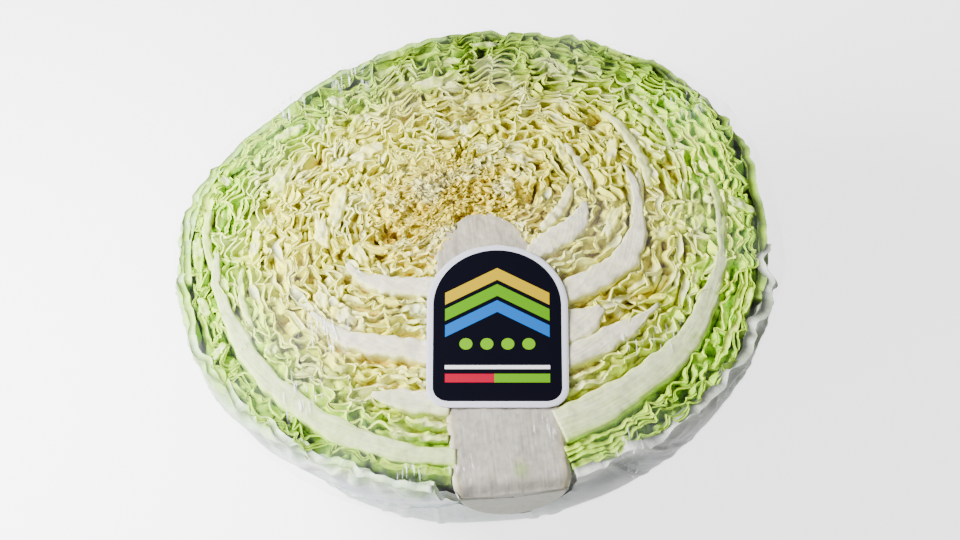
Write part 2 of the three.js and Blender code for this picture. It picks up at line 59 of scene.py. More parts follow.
# Leaves of each side from the outside in: height of the foot on the stalk, share of the
# head's thickness, and degrees over which the cut runs along the midrib (0: it doesn't)
LEAVES = {
    1: [(13, 5.1, 0), (14.5, 7.5, 78), (8, 6.5, 0), (10, 6.5, 38), (14.5, 5.5, 22),
        (10, 6.5, 80), (7, 8.5, 0), (9, 7, 48), (4.5, 5.2, 0), (3.5, 5.3, 0)],
    -1: [(5, 3.1, 0), (12, 8.5, 85), (9, 5.5, 0), (9.5, 5.5, 20), (9.5, 5.5, 0), (9.5, 7.5, 50),
         (8.5, 6, 0), (7.5, 6.5, 0), (8.5, 6.5, 54), (8, 5, 0), (7, 5, 0)],
}
LOWEST_FOOT = {1: -85, -1: -86}
SIDE_NAME = {1: "right", -1: "left"}
OUTER_FAR, HEART_FAR = 0.911, 0.3
SWEEP = 55
LAYER_DROP = 0.032
BLADE_SPACE, BODY_SPACE = 2.3 / MEAN_RADIUS, 3.2 / MEAN_RADIUS
LEAF_MARGIN, BODY_MARGIN = 0.5 / MEAN_RADIUS, 0.9 / MEAN_RADIUS
# Drop at which a leaf's body steps in, and the sine of the smallest shells' slope there
BODY_STEP, STEP_SINE = 14.5, 0.63
WRAPPER_THICKNESS = 2.2
STEM_OPENING = 13.5


# ---------------------------------------------------------------- numbers and noise

def mix(a, b, share):
    return a + (b - a) * share


def smooth(low, high, value):
    """0 below low, 1 above high, and a smooth cubic between"""
    t = np.clip((value - low) / (high - low), 0, 1)
    return t * t * (3 - 2 * t)


def bump(value, centre, width):
    """1 at the centre, falling as a cosine to 0 at the half-width"""
    return 0.5 + 0.5 * np.cos(np.pi * np.clip((value - centre) / width, -1, 1))


SHUFFLE = np.random.default_rng(11).permutation(256)
SLOPES = np.random.default_rng(12).normal(size=(256, 3))
SLOPES /= np.linalg.norm(SLOPES, axis=1, keepdims=True)


def hashed(cell, seed):
    """A repeatable number from 0 to 255 for each whole-numbered cell"""
    h = SHUFFLE[(cell[..., 0] + seed) & 255]
    h = SHUFFLE[(h + cell[..., 1]) & 255]
    return SHUFFLE[(h + cell[..., 2]) & 255]


def noise(points, seed=0):
    """Smooth noise of about -1 to 1: each corner of a unit lattice has a random slope, and
    the eight slopes round a point are blended by a fifth-order fade"""
    cell = np.floor(points).astype(np.int64)
    within = points - cell
    fade = within ** 3 * (within * (within * 6 - 15) + 10)
    total = np.zeros(points.shape[:-1])
    for corner in itertools.product((0, 1), repeat=3):
        rise = ((within - corner) * SLOPES[hashed(cell + corner, seed)]).sum(-1)
        weight = np.prod(np.where(corner, fade, 1 - fade), axis=-1)
        total += rise * weight
    return 1.7 * total


def triples(x, y, z):
    """Three arrays or numbers joined as the coordinates of points"""
    return np.stack(np.broadcast_arrays(x, y, z), -1)


def noise_of(seed, x, y, z):
    return noise(triples(x, y, z), seed)


def lengths_along(path):
    """The length along a path up to each of its points"""
    steps = np.linalg.norm(np.diff(path, axis=0), axis=1)
    return np.concatenate([[0], np.cumsum(steps)])


def cells(points, seed=0):
    """Distances from each point to its nearest and second nearest seed point, with one seed
    point placed at random in each unit cell"""
    cell = np.floor(points).astype(np.int64)
    nearest = np.full(points.shape[:-1], 9.0)
    second = nearest.copy()
    for offset in itertools.product((-1, 0, 1), repeat=3):
        place = cell + offset
        jitter = np.stack([hashed(place, seed + n) for n in (0, 71, 142)], -1) / 255
        distance = np.linalg.norm(place + jitter - points, axis=-1)
        second = np.minimum(second, np.maximum(nearest, distance))
        nearest = np.minimum(nearest, distance)
    return nearest, second


# ---------------------------------------------------------------- the shells of the head

def outline(turn):
    """The plan outline's departure from an ellipse, by degrees round from the stem end"""
    turn = np.mod(turn, 360)
    return 1 + 0.04 * bump(turn, 132, 50) - 0.05 * bump(turn, 212, 45)


def shell_point(level, x, y, z):
    """The point of the shell at a level in the direction (x, y, z) of a unit sphere"""
    swell = outline(np.degrees(np.arctan2(x, -y)))
    return triples(GROWTH_X * (1 - level) + level * HALF_WIDTH * swell * x,
                   GROWTH_Y * (1 - level) + level * HALF_LENGTH * swell * y,
                   CUT_HEIGHT + level * DEPTH * z)


def shell_at(side, level, angle, slope):
    """The same point by the angle round the cut face and the slope below it"""
    flat, turn = np.cos(np.radians(slope)), np.radians(angle)
    return shell_point(level, side * flat * np.sin(turn), -flat * np.cos(turn),
                       -np.sin(np.radians(slope)))


def slope_of_drop(level, drop):
    """The slope at which a shell is a drop below the cut face; the smallest stop short"""
    return np.degrees(np.arcsin(np.minimum(drop / (level * DEPTH), STEP_SINE * drop / BODY_STEP)))


def stalk_radius(y):
    """Half the stalk's width at a height of the cut face, 0 past its tip"""
    places, radii = np.transpose(STALK_STATIONS)
    return np.interp(y, places, radii, right=0)


def shell_through(side, x, y):
    """The level and angle of the shell through a point of the cut face, by halving"""
    low, high, angle = 0.01, 1.2, 0.0
    for _ in range(40):
        level = (low + high) / 2
        across = side * (x - GROWTH_X * (1 - level)) / (level * HALF_WIDTH)
        along = (y - GROWTH_Y * (1 - level)) / (level * HALF_LENGTH)
        angle = np.degrees(np.arctan2(across, -along))
        if np.hypot(across, along) > outline(side * angle):
            low = level
        else:
            high = level
    return low, angle


def rim_level(side, angle):
    """The level of the outermost leaf's outside, clear of the wrapper leaves round it"""
    start, end = (68, 108) if side > 0 else (78, 148)
    lapped = smooth(start - 14, start, angle) * (1 - smooth(end, end + 10, angle))
    at_stem = 1 - smooth(25, 45, angle) if side < 0 else 0
    return 1 - LAYER_DROP * (1 + lapped + at_stem)


def edges_of(side):
    """Edges between one side's leaves: foot level, foot angle and far level of each"""
    leaves = LEAVES[side]
    total = sum(leaf[1] for leaf in leaves)
    foot_y, far_sum, edges = LOWEST_FOOT[side], 0, []
    for foot, far, _ in leaves + [(0, 0, 0)]:
        level, angle = shell_through(side, STALK_X + side * stalk_radius(foot_y), foot_y)
        edges.append((level, angle, mix(OUTER_FAR, HEART_FAR, far_sum / total)))
        foot_y += foot
        far_sum += far
    return edges


EDGES = {side: edges_of(side) for side in (1, -1)}


def edge_level(side, k, angle):
    """Edge k is outside leaf k: it sweeps from its foot on the stalk to its far level"""
    rim = rim_level(side, angle)
    if k == 0:
        return rim
    foot, foot_angle, far = EDGES[side][k]
    reached = mix(foot, far, smooth(foot_angle, foot_angle + SWEEP, angle))
    return np.minimum(reached, rim - k * BLADE_SPACE)


def body_edge(side, k, angle):
    """The same edge between the leaves' bodies below the crinkled blades"""
    limit = mix(1 - 2 * LAYER_DROP, OUTER_FAR, smooth(35, 50, angle))
    return np.minimum(edge_level(side, k, angle), limit - k * BODY_SPACE)


def seam_angle(side, level):
    """Where the two sides' leaves meet near the top, wandering with the level"""
    return 180 + side * 9 * np.sin(11 * level + 0.6)


def start_angle(side, level_of, inside):
    """The first angle at which a shell comes out of the stalk's side, less a distance"""
    angle = np.arange(0.0, 120.0, 0.5)
    point = shell_at(side, level_of(angle), angle, 0)
    out = side * (point[:, 0] - STALK_X) > stalk_radius(point[:, 1]) - inside
    return max(angle[np.argmax(out)], 4.0)


# ---------------------------------------------------------------- meshes

def lattice_quads(index):
    """Quads between neighbouring rows and columns of a grid of point numbers"""
    corners = [index[:-1, :-1], index[1:, :-1], index[1:, 1:], index[:-1, 1:]]
    return np.stack(corners, -1).reshape(-1, 4)


def faced_out(points, quads):
    """Turns every face round if the closed shape's volume comes out negative"""
    a, b, c, d = (points[quads[:, n]] for n in range(4))
    volume = (a * np.cross(b, c)).sum() + (a * np.cross(c, d)).sum()
    return quads if volume > 0 else quads[:, ::-1]


def slab(front, back, **painted):
    """A closed sheet: a front grid, a back grid and a strip round their borders. Painted
    values are grids of the same shape, the same on both faces."""
    rows, columns = front.shape[:2]
    index = np.arange(rows * columns).reshape(rows, columns)
    border = np.concatenate([index[0, :-1], index[:-1, -1], index[-1, :0:-1], index[:0:-1, 0]])
    after = np.roll(border, -1)
    size = rows * columns
    strip = np.stack([border, border + size, after + size, after], -1)
    sheet = lattice_quads(index)
    points = np.concatenate([front.reshape(-1, 3), back.reshape(-1, 3)])
    quads = faced_out(points, np.concatenate([sheet[:, ::-1], sheet + size, strip[:, ::-1]]))
    values = {name: np.tile(value.reshape(size, -1), (2, 1)) for name, value in painted.items()}
    return points, quads, values


def with_ends(grid, centred):
    """Adds rings that shrink to each end ring's middle, so that the end faces are flat"""
    ends = []
    for ring in (grid[:1], grid[-1:]):
        middle = ring.mean(axis=1, keepdims=True) if centred else ring
        ends.append([middle + (ring - middle) * size for size in (0.97, 0.6, 0.02)])
    return np.concatenate(ends[0][::-1] + [grid] + ends[1])


def tube(rings, **painted):
    """A closed shape: rings of points carried along a path, shrunk to the middle at each end
    and shut there by quads that fold across the last small ring"""
    rings = with_ends(rings, True)
    painted = {name: with_ends(value, False) for name, value in painted.items()}
    sections, count = rings.shape[:2]
    index = np.arange(sections * count).reshape(sections, count)
    around = np.concatenate([index, index[:, :1]], axis=1)
    sheet = lattice_quads(around)
    half = np.arange((count - 2) // 2)
    fold = np.stack([half, half + 1, count - 2 - half, count - 1 - half], -1)
    ends = [index[0][fold][:, ::-1], index[-1][fold]]
    points = rings.reshape(-1, 3)
    quads = faced_out(points, np.concatenate([sheet, ends[0], ends[1]]))
    values = {name: value.reshape(len(points), -1) for name, value in painted.items()}
    return points, quads, values


def make_piece(name, parts, material):
    """One mesh object out of several closed parts, with their painted values"""
    starts = np.cumsum([0] + [len(part[0]) for part in parts])
    points = np.concatenate([part[0] for part in parts])
    quads = np.concatenate([part[1] + start for part, start in zip(parts, starts)])
    mesh = bpy.data.meshes.new(name)
    mesh.vertices.add(len(points))
    mesh.vertices.foreach_set("co", (points * MM).ravel())
    mesh.loops.add(quads.size)
    mesh.loops.foreach_set("vertex_index", quads.ravel())
    mesh.polygons.add(len(quads))
    mesh.polygons.foreach_set("loop_start", np.arange(len(quads)) * 4)
    mesh.polygons.foreach_set("use_smooth", np.ones(len(quads), dtype=bool))
    mesh.update(calc_edges=True)
    for key in parts[0][2]:
        value = np.concatenate([part[2][key] for part in parts])
        kind, member = ("FLOAT_VECTOR", "vector") if value.shape[1] == 3 else ("FLOAT", "value")
        if key == "tint":
            kind, member = "FLOAT_COLOR", "color"
            value = np.column_stack([value, np.ones(len(value))])
        mesh.attributes.new(key, kind, "POINT").data.foreach_set(member, value.ravel())
    mesh.materials.append(material)
    piece = bpy.data.objects.new(name, mesh)
    bpy.context.scene.collection.objects.link(piece)
    return piece


def unit(vectors):
    return vectors / np.maximum(np.linalg.norm(vectors, axis=-1, keepdims=True), 1e-9)


def sheet_normals(points):
    """Normals of a grid of points, from the cross product of its two directions"""
    return unit(np.cross(np.gradient(points, axis=0), np.gradient(points, axis=1)))


# ---------------------------------------------------------------- colours of the flesh

def rgb(*values):
    return np.array(values)


GREEN_DARK = rgb(0.050, 0.13, 0.004)
GREEN = rgb(0.21, 0.40, 0.014)
YELLOW_GREEN = rgb(0.50, 0.79, 0.014)
PALE = rgb(0.82, 0.80, 0.10)
HEART_YELLOW = rgb(0.78, 0.62, 0.045)
HEART_EDGE = rgb(0.90, 0.80, 0.20)
CREAM = rgb(0.82, 0.83, 0.25)
IVORY = rgb(0.76, 0.79, 0.42)
# The ochre below is painted shade: the warm dim colour given to flesh deep in the head, standing in
# for shade and for light glowing through the leaves
OCHRE_SHADE = rgb(0.58, 0.34, 0.012)
OUTER_FLESH = rgb(0.58, 0.80, 0.10)
PRESSED_WHITE = rgb(0.80, 0.82, 0.50)
SLIP_INSIDE, SLIP_OUTSIDE = rgb(0.74, 0.70, 0.36), rgb(0.52, 0.70, 0.16)
RIB_INSIDE, RIB_OUTSIDE = rgb(0.74, 0.70, 0.53), rgb(0.60, 0.71, 0.33)


def tinted(colour, other, share):
    """One colour going over to another by a share for each point"""
    return mix(colour, other, share[..., None])


def flesh_tint(level, drop, points, cut, thick):
    """Colour of a leaf: yellow at the heart, pale further out and green outside, with painted
    shade that grows dim and warm with depth for the shade between the leaves and the light
    glowing through them, cream where the knife cut it and ivory where it is thick, with
    whiter patches. It has painted shade towards the top of the head and painted light
    towards the right."""
    fleck = noise(points / 3.2, 15)
    level = level + 0.04 * noise(points / 13, 5)
    colour = tinted(HEART_YELLOW, PALE, smooth(0.12, 0.45, level))
    colour = tinted(colour, YELLOW_GREEN, smooth(0.60, 0.84, level))
    colour = tinted(colour, GREEN, smooth(0.86, 0.96, level))
    whiter = smooth(0.0, 0.6, noise(points / 8, 47)) * (1 - smooth(0.8, 0.9, level))
    colour = tinted(colour, IVORY, 0.55 * whiter)
    # Painted shade: the colour goes dim and warm with depth below the cut face, for the shade
    # between the leaves and the light glowing through them
    painted_hollow_shade = tinted(OCHRE_SHADE, GREEN_DARK, smooth(0.7, 0.88, level))
    colour = tinted(colour, painted_hollow_shade, 0.85 * smooth(0.8, 8.0, drop) * (1 + 0.3 * fleck))
    edge = tinted(CREAM, YELLOW_GREEN, smooth(0.8, 0.93, level))
    edge = tinted(edge, HEART_EDGE, 1 - smooth(0.15, 0.4, level))
    colour = tinted(colour, edge, 0.4 * cut * (1 + 0.5 * fleck))
    fleshy = tinted(IVORY, OUTER_FLESH, smooth(0.76, 0.9, level))
    colour = tinted(colour, fleshy, thick * (1 - 0.5 * smooth(0.5, 8, drop)))
    # Painted shade towards the top of the head and painted light towards the right, multiplied into
    # the colour
    shade_to_top, light_to_right = smooth(45, 80, points[..., 1]), smooth(50, 85, points[..., 0])
    shade = 1 - 0.32 * shade_to_top + 0.45 * light_to_right
    return np.clip(colour * shade[..., None] * (1 + 0.08 * fleck)[..., None], 0, 1)


# ---------------------------------------------------------------- crinkled leaves

# How far blades, and patches and slips, may stand above the cut face
BLADE_STANDS, PATCH_STANDS = 0.25, 0.2
# Depths of a blade's rows below the cut face
BLADE_DROPS = np.array([0, 0.3, 1.0, 2.0, 3.3, 4.8, 6.8, 9.0])
# Places where the cut edges have sunk: x, y, radius and depth
HOLLOWS = [(-27.5, 10.5, 5.0, 7), (44, 47, 4.0, 5), (-66, 26, 3.5, 4), (28, -12, 4.5, 4),
           (57, 0, 4.0, 4), (5, 55, 5, 4), (-48, 42, 4, 4), (-36, -34, 4, 4), (66, 28, 4, 5),
           (20, 20, 4.5, 4), (48, -20, 5, 4)]


def hollow_depth(points):
    """How far the cut edges have sunk at the head's few hollows"""
    sunk = np.zeros(points.shape[:-1])
    for x, y, radius, depth in HOLLOWS:
        reach = np.hypot(points[..., 0] - x, points[..., 1] - y)
        sunk = np.maximum(sunk, depth * bump(reach, 0, radius))
    return sunk


def in_cut(side, level, angle):
    """The place (x, y) in the cut face of a level and an angle"""
    return shell_at(side, np.array([level]), np.array([angle]), 0)[0, :2]


def turned(x, y, degrees):
    """Coordinates along and across a direction turned by so many degrees from X"""
    c, s = np.cos(np.radians(degrees)), np.sin(np.radians(degrees))
    return x * c + y * s, y * c - x * s


# Leaf seen flat in the cut face: x, y, degrees from X of its long way, half-length, half-width
PATCHES = [(-44, 24, 72, 8.5, 3.4), (-50, 14, 95, 6, 3), (-17, 19, 40, 7, 2.8),
           (-31, 44, 25, 7, 3), (33, 36, 110, 6, 2.2), (9, 60, 5, 8, 3), (-8, 68, 10, 7, 2.6),
           (46, 8, 60, 7, 2.6), (62, 2, 20, 5, 2.5), (-62, 36, 60, 8, 3),
           (-38, 4, 120, 6, 2.4), (-72, 12, 80, 7, 2.4)]
# More patches to strew over each side, mostly on the left, where the film presses more
STREWN = ((-1, 44), (1, 20))
# Thin ribs seen between the crinkles: points of a path (x, y) and half-width
SLIPS = [
    ([(60, 20), (59, 30), (55, 41), (48, 51)], 1.7), ([(52, 6), (56, 16), (57, 27)], 1.6),
    ([(81, -4), (82, 9), (80, 22)], 1.6), ([(41, 20), (38, 31), (33, 40)], 1.4),
    ([(-86, 3), (-88, 16), (-85, 28)], 1.5), ([(-75, -20), (-78, -8), (-77, 4)], 1.2),
    ([(22, 8), (30, 15), (34, 24)], 1.9), ([(70, 34), (66, 46), (58, 57)], 1.2),
]
PATCH_THICKNESS = 0.9
# Half a turn round a slip's section: share of its half-width, and depth
SLIP_PROFILE = np.array([(-1, 7), (-1, 3), (-0.98, 0.7), (-0.8, 0.16), (-0.4, 0), (0, -0.03),
                         (0.4, 0), (0.8, 0.16), (0.98, 0.7), (1, 3), (1, 7), (0, 7)])


def strew_patches():
    """Adds patches at random over the leaves beyond their ribs, each lying roughly along its
    leaf and clear of those already there"""
    random = np.random.default_rng(77)
    for side, count in STREWN:
        for _ in range(count):
            k = int(random.integers(0, len(LEAVES[side])))
            beyond_rib = 50 + 0.9 * LEAVES[side][k][2]
            angle = random.uniform(min(beyond_rib, 120), 172)
            level = (edge_level(side, k, angle) + edge_level(side, k + 1, angle)) / 2
            x, y = in_cut(side, level, angle)
            ahead = in_cut(side, level, angle + 3) - (x, y)
            turn = np.degrees(np.arctan2(ahead[1], ahead[0])) + random.normal(0, 28)
            length, width = random.uniform(2.5, 7), random.uniform(1.1, 2.9)
            if all(np.hypot(x - p[0], y - p[1]) > length + 0.7 * p[3] for p in PATCHES):
                PATCHES.append((x, y, turn, length, width))


def sunk_under(points):
    """1 where a patch lies over the crinkled edges, less under a slip, 0 away from both"""
    x, y = points[..., 0], points[..., 1]
    under = np.zeros(x.shape)
    for px, py, turn, length, width in PATCHES:
        along, across = turned(x - px, y - py, turn)
        under = np.maximum(under, smooth(1.15, 0.8, np.hypot(along / length, across / width)))
    for path, half in SLIPS:
        for (x0, y0), (x1, y1) in zip(path, path[1:]):
            dx, dy = x1 - x0, y1 - y0
            share = np.clip(((x - x0) * dx + (y - y0) * dy) / (dx * dx + dy * dy), 0, 1)
            reach = np.hypot(x - x0 - share * dx, y - y0 - share * dy)
            under = np.maximum(under, 0.6 * smooth(half + 0.4, half - 0.4, reach))
    return under


def patch_part(x, y, turn, length, width):
    """A patch: a disc's grid stretched to an uneven oval, humped, its rim turned down"""
    u, v = np.meshgrid(np.linspace(-1, 1, 23), np.linspace(-1, 1, 15), indexing="ij")
    a, b = u * np.sqrt(1 - v * v / 2), v * np.sqrt(1 - u * u / 2)
    flat, reach = 0 * a, np.hypot(a, b)
    lobes = triples(a * 1.5 + x, b * 1.5 + y, flat)
    uneven = 1 + 0.5 * noise(lobes, 55) + 0.3 * noise(lobes * 2.4, 53)
    along, across = a * length * uneven, b * width * uneven
    dx, dy = turned(along, across, -turn)
    place = triples(x + dx, y + dy, flat)
    tilt = 0.45 * np.sin(x * 1.3 + y) * b
    height = 0.8 * noise(place / 3.0, 56) + 0.45 * noise(place / 1.3, 57) - 0.45 + tilt
    rim = 1.7 * smooth(0.7, 1.05, reach)
    place[..., 2] = CUT_HEIGHT + np.minimum(height, PATCH_STANDS) - rim
    level = shell_through(np.sign(x - STALK_X) or 1, x, y)[0]
    # Painted shade: the drop given for the colour grows at the turned-down rim, so the rim is
    # dimmed
    colour = flesh_tint(level + flat, 0.6 + 2.2 * smooth(0.75, 1.05, reach), place, flat, flat)
    whiter = 0.35 + 0.7 * noise(place / 3.0, 58) - 0.6 * smooth(0.6, 1, reach)
    colour = tinted(colour, PRESSED_WHITE, 0.8 * np.clip(whiter, 0, 1))
    return slab(place, place - (0, 0, PATCH_THICKNESS), tint=colour,
                grain=triples(along, across, flat))


def slip_part(path, half):
    """A slip: a rounded section carried along a smoothed path, thin and low at both ends"""
    path = np.array(path, dtype=float)
    t = np.linspace(0, 1, 60)
    bend = np.polyfit(np.linspace(0, 1, len(path)), path, min(len(path) - 1, 3))
    middle = np.stack([np.polyval(bend[:, n], t) for n in (0, 1)], -1)
    ahead = unit(np.gradient(middle, axis=0))
    aside = np.stack([-ahead[:, 1], ahead[:, 0]], -1)
    broken = noise_of(62, middle[:, 0] / 3.2, middle[:, 1] / 3.2, 0)
    swell = 0.35 + 0.65 * np.sin(np.pi * np.clip(t * 0.92 + 0.06, 0, 1)) ** 0.6
    width = half * swell * (1 + 0.4 * broken)
    wave = 0.35 * noise_of(59, middle[:, 0] / 4, middle[:, 1] / 4, 0)
    off = SLIP_PROFILE[:, 0] * width[:, None] + wave[:, None]
    drop = SLIP_PROFILE[:, 1] + 0 * off
    plan = middle[:, None, :] + aside[:, None, :] * off[..., None]
    points = np.concatenate([plan, (CUT_HEIGHT - 0.35 - drop)[..., None]], -1)
    rough = 0.35 * noise(points / 1.9, 60) + 0.7 * broken[:, None]
    dip = 1.2 * (smooth(0.1, 0, t) + smooth(0.88, 1, t))
    points[..., 2] += rough * (drop < 2) - dip[:, None]
    points[..., 2] = np.minimum(points[..., 2], CUT_HEIGHT + PATCH_STANDS)
    level = shell_through(np.sign(path[0, 0]), *path[len(path) // 2])[0]
    tint = mix(SLIP_INSIDE, SLIP_OUTSIDE, smooth(0.5, 0.9, level)) + 0 * points
    tint = tinted(tint, CREAM, 0.6 * smooth(0.6, 1, np.abs(SLIP_PROFILE[:, 0]) + 0 * off))
    # Painted shade: ochre deeper down the slip's sides
    tint = tinted(tint, OCHRE_SHADE, 0.6 * smooth(1.5, 6, drop))
    return tube(points, tint=tint, grain=triples(t[:, None] * 30, off, drop))


def wander(side, level, angle):
    """The layers aren't quite concentric: a slow push on the level, none at the rim"""
    slow = noise(shell_at(side, level, angle, 0) / 26, 40)
    return 2.2 / MEAN_RADIUS * slow * smooth(0.93, 0.8, level) * smooth(0.08, 0.25, level)


def field_points(side, level, angle, drop):
    """Where the crinkle noise is read: shells half as far apart, so that neighbouring leaves
    crinkle alike and nest, with finer crinkles towards the heart"""
    flat = shell_at(side, 0.35 + 0.55 * level, angle, 0)
    flat[..., 2] = drop
    return flat


CRINKLE_SIZE = 4.3


def crinkled_sheet(side, level_of, angles, half, swing, fine=1.0, thick_spans=(), seed=0,
                   drops=BLADE_DROPS):
    """A thin leaf seen on edge: a strip along a shell, down into the head, pushed off its
    shell and along it by noise, then thickened along its own normals. half is half its
    thickness and swing the push, both in millimetres, and fine shrinks the crinkles. Each
    thick span is a middle angle, a half-width in degrees and an extra half-thickness."""
    angle = angles[:, None]
    drop = np.broadcast_to(drops[None, :], (len(angles), len(drops)))
    level = level_of(angles)[:, None] + 0 * drop
    level = level + wander(side, level, angle)
    slope = slope_of_drop(level, drop)
    base = shell_at(side, level, angle, slope)
    outward = unit(shell_at(side, level + 0.01, angle, slope)
                   - shell_at(side, level - 0.01, angle, slope))
    along = unit(np.gradient(base, axis=0))
    field = field_points(side, level, angle, drop * 0.8) / (CRINKLE_SIZE * fine)
    stiff = np.zeros(angle.shape)
    for centre, span, _ in thick_spans:
        stiff = np.maximum(stiff, bump(angle, centre, span) ** 0.5)
    push = swing[:, None] * (1 - 0.85 * stiff) * (1 + 0.45 * noise(field / 4, 16))
    off = (np.sin(3.2 * noise(field, 1 + seed)) + 0.5 * noise(field * 2.1, 2)
           + 0.22 * noise(field * 4.3, 17))
    side_push = 0.8 * (np.sin(2.8 * noise(field, 20 + seed)) + 0.4 * noise(field * 2.2, 18))
    points = base + outward * (push * off)[..., None] + along * (push * side_push)[..., None]
    lift = (0.9 * noise(field * 0.9, 3) + 0.5 * noise(field * 2.3, 21)
            - hollow_depth(points) * (1 - 0.5 * stiff))
    lift = mix(lift - 0.35, -2.4, sunk_under(points))
    points[..., 2] += lift * (1 - drop / drops[-1])
    points[..., 2] = np.minimum(points[..., 2], CUT_HEIGHT + BLADE_STANDS)
    uneven = 1 + 0.6 * noise(field * 1.4, 4) + 0.35 * noise(field * 4, 19)
    thickness = half * np.maximum(uneven, 0.35)
    for centre, span, extra in thick_spans:
        thickness = thickness + extra * bump(angle, centre, span)
    cut = np.zeros_like(drop)
    cut[:, 0] = 1
    # Painted shade: the colour goes dim with the depth below the cut face, more in the sunk hollows
    sunk = drop + hollow_depth(points)
    tint = flesh_tint(level, sunk, points, cut, smooth(0.7, 1.5, thickness))
    offset = sheet_normals(points) * thickness[..., None]
    return slab(points + offset, points - offset, tint=tint,
                grain=triples(lengths_along(base[:, 0])[:, None], level * MEAN_RADIUS, drop))


RIB_DEPTH = 13.0
# Round a midrib's section: share of its half-width, and share of its depth
RIB_PROFILE = np.array([
    (-1, 1), (-1, 0.6), (-1, 0.25), (-1, 0.1), (-0.97, 0.035), (-0.88, 0.008), (-0.66, 0),
    (-0.33, -0.006), (0, -0.01), (0.33, -0.006), (0.66, 0), (0.88, 0.008), (0.97, 0.035),
    (1, 0.1), (1, 0.25), (1, 0.6), (1, 1), (0, 1)])


def rib(side, outer_of, inner_of, angles, width_of):
    """A thick midrib cut along its length: a rounded slab that fills its leaf's band at the
    foot and narrows along it. Each section is a ring down one side, across and up."""
    angle = angles[:, None]
    outer, inner = outer_of(angles)[:, None], inner_of(angles)[:, None]
    share, drop = RIB_PROFILE[:, 0], RIB_PROFILE[:, 1] * RIB_DEPTH + 0 * angle
    centre, half = (outer + inner) / 2, (outer - inner) / 2 * width_of(angles)[:, None]
    ragged = 0.8 / MEAN_RADIUS * noise_of(7, angle * 0.25, share * 0.8, centre * 40)
    level = centre + share * half + ragged + wander(side, centre, angle)
    points = shell_at(side, level, angle, slope_of_drop(level, np.maximum(drop, 0)))
    points[..., 2] += np.where(drop < 1, 0.25 - np.maximum(drop, 0) * 0.2, 0)
    surface = (0.3 * noise(points / 6.5, 8) + 0.12 * noise(points / 1.6, 10)
               + 0.14 * noise_of(22, angle * 0.22, level * 95, 0))
    points[..., 2] += (surface - 0.15) * (drop < 3)
    outside = smooth(0.6, 0.92, level)
    streaks = noise_of(6, angle * 0.16, level * 90, 0)
    paler = (0.6 * smooth(0.72, 1.0, np.abs(share) + 0 * drop)
             + 0.25 * smooth(-0.2, 0.7, streaks) + 0.3 * smooth(2, 8, drop))
    tint = tinted(RIB_INSIDE, RIB_OUTSIDE, outside)
    tint = tinted(tint, tinted(CREAM, YELLOW_GREEN, outside), paler)
    flecks = (smooth(0.35, 0.7, noise(points / 2.6, 48))
              * smooth(0.0, 0.5, noise(points / 11, 49)))
    tint = tinted(tint, GREEN * 1.2, 0.6 * flecks * outside)
    # Painted shade: ochre deeper down the rib's sides
    tint = tinted(tint, OCHRE_SHADE, 0.5 * smooth(3, 12, drop))
    arc = lengths_along(shell_at(side, centre[:, 0], angles, 0))[:, None]
    return tube(points, tint=tint, grain=triples(arc, level * MEAN_RADIUS, drop))


# A leaf's body: columns over its top, and the top's depth
BODY_COLUMNS, BODY_TOP = 12, 3.4
# Slopes to which the outermost leaf's body and the others' go down
OUTER_LOWEST, INNER_LOWEST = 58, 75


def leaf_body(side, k, start):
    """The leaf deeper in the head: a thick shell whose top is the crumple of folds seen
    between the blades, going down round the head"""
    far = edge_level(side, k, np.array([110.0]))[0]
    share = np.linspace(0, 1, int(40 + 260 * far))[:, None]
    across = np.linspace(1, 0, BODY_COLUMNS)
    lowest = INNER_LOWEST if k else OUTER_LOWEST

    def column(across, drop, slope, of, margin):
        angle = mix(start, 178.0, share)
        outer, inner = of(side, k, angle) - margin, of(side, k + 1, angle) + margin
        level = mix(inner, outer, across)
        level = level + wander(side, level, angle) * (slope is None)
        half_gap = np.degrees(0.8 / (MEAN_RADIUS * level))
        angle = mix(start, seam_angle(side, level) - half_gap, share)
        steep = slope_of_drop(level, drop) if slope is None else slope
        return shell_at(side, level, angle, steep), level + 0 * angle

    ends = np.array([0.0, 1.0])
    steps = [column(across, BODY_TOP, None, edge_level, 0.1 / MEAN_RADIUS),
             column(ends[:1], BODY_STEP, None, body_edge, BODY_MARGIN),
             column(ends[:1], 0, lowest * 0.6, body_edge, BODY_MARGIN),
             column(ends, 0, lowest, body_edge, BODY_MARGIN),
             column(ends[1:], 0, lowest * 0.6, body_edge, BODY_MARGIN),
             column(ends[1:], BODY_STEP, None, body_edge, BODY_MARGIN)]
    rings = np.concatenate([step[0] for step in steps], 1)
    level = np.concatenate([step[1] for step in steps], 1)
    top = rings[:, :BODY_COLUMNS]
    folds = noise(top / 4.2, 9) + 0.5 * noise(top / 2.1, 14)
    highest = 2.0 - 1.5 * sunk_under(top)
    top[..., 2] += np.minimum(2.6 * np.sin(1.6 * folds), highest) - hollow_depth(top)
    top[:, [0, -1], 2] -= 1.5
    drop = CUT_HEIGHT - rings[..., 2]
    # Painted shade: the colour goes dim and warm with depth below the cut face
    tint = flesh_tint(level, np.minimum(drop * 1.05, 9), rings, 0 * drop, 0 * drop)
    return tube(rings, tint=tint, grain=triples(share * 120, level * MEAN_RADIUS, drop))


def carried(side, k):
    """The patches and slips whose middle lies between a leaf's edges"""
    parts = []
    for make, things in ((patch_part, PATCHES), (slip_part, SLIPS)):
        for thing in things:
            x, y = thing[:2] if make is patch_part else thing[0][len(thing[0]) // 2]
            if (1 if x > STALK_X else -1) != side:
                continue
            level, angle = shell_through(side, x, y)
            inner = edge_level(side, k + 1, angle)
            if inner <= level and (k == 0 or level < edge_level(side, k, angle)):
                parts.append(make(*thing))
    return parts


# Millimetres between a leaf's sheets, between the points along a sheet and along a rib
SHEET_SPACING, SHEET_STEP, RIB_STEP = 2.2, 0.74, 0.9
# Millimetres between sheets past which one more goes in, and its least number of degrees
WIDE_SPACING, SHORTEST = 3.4, 12


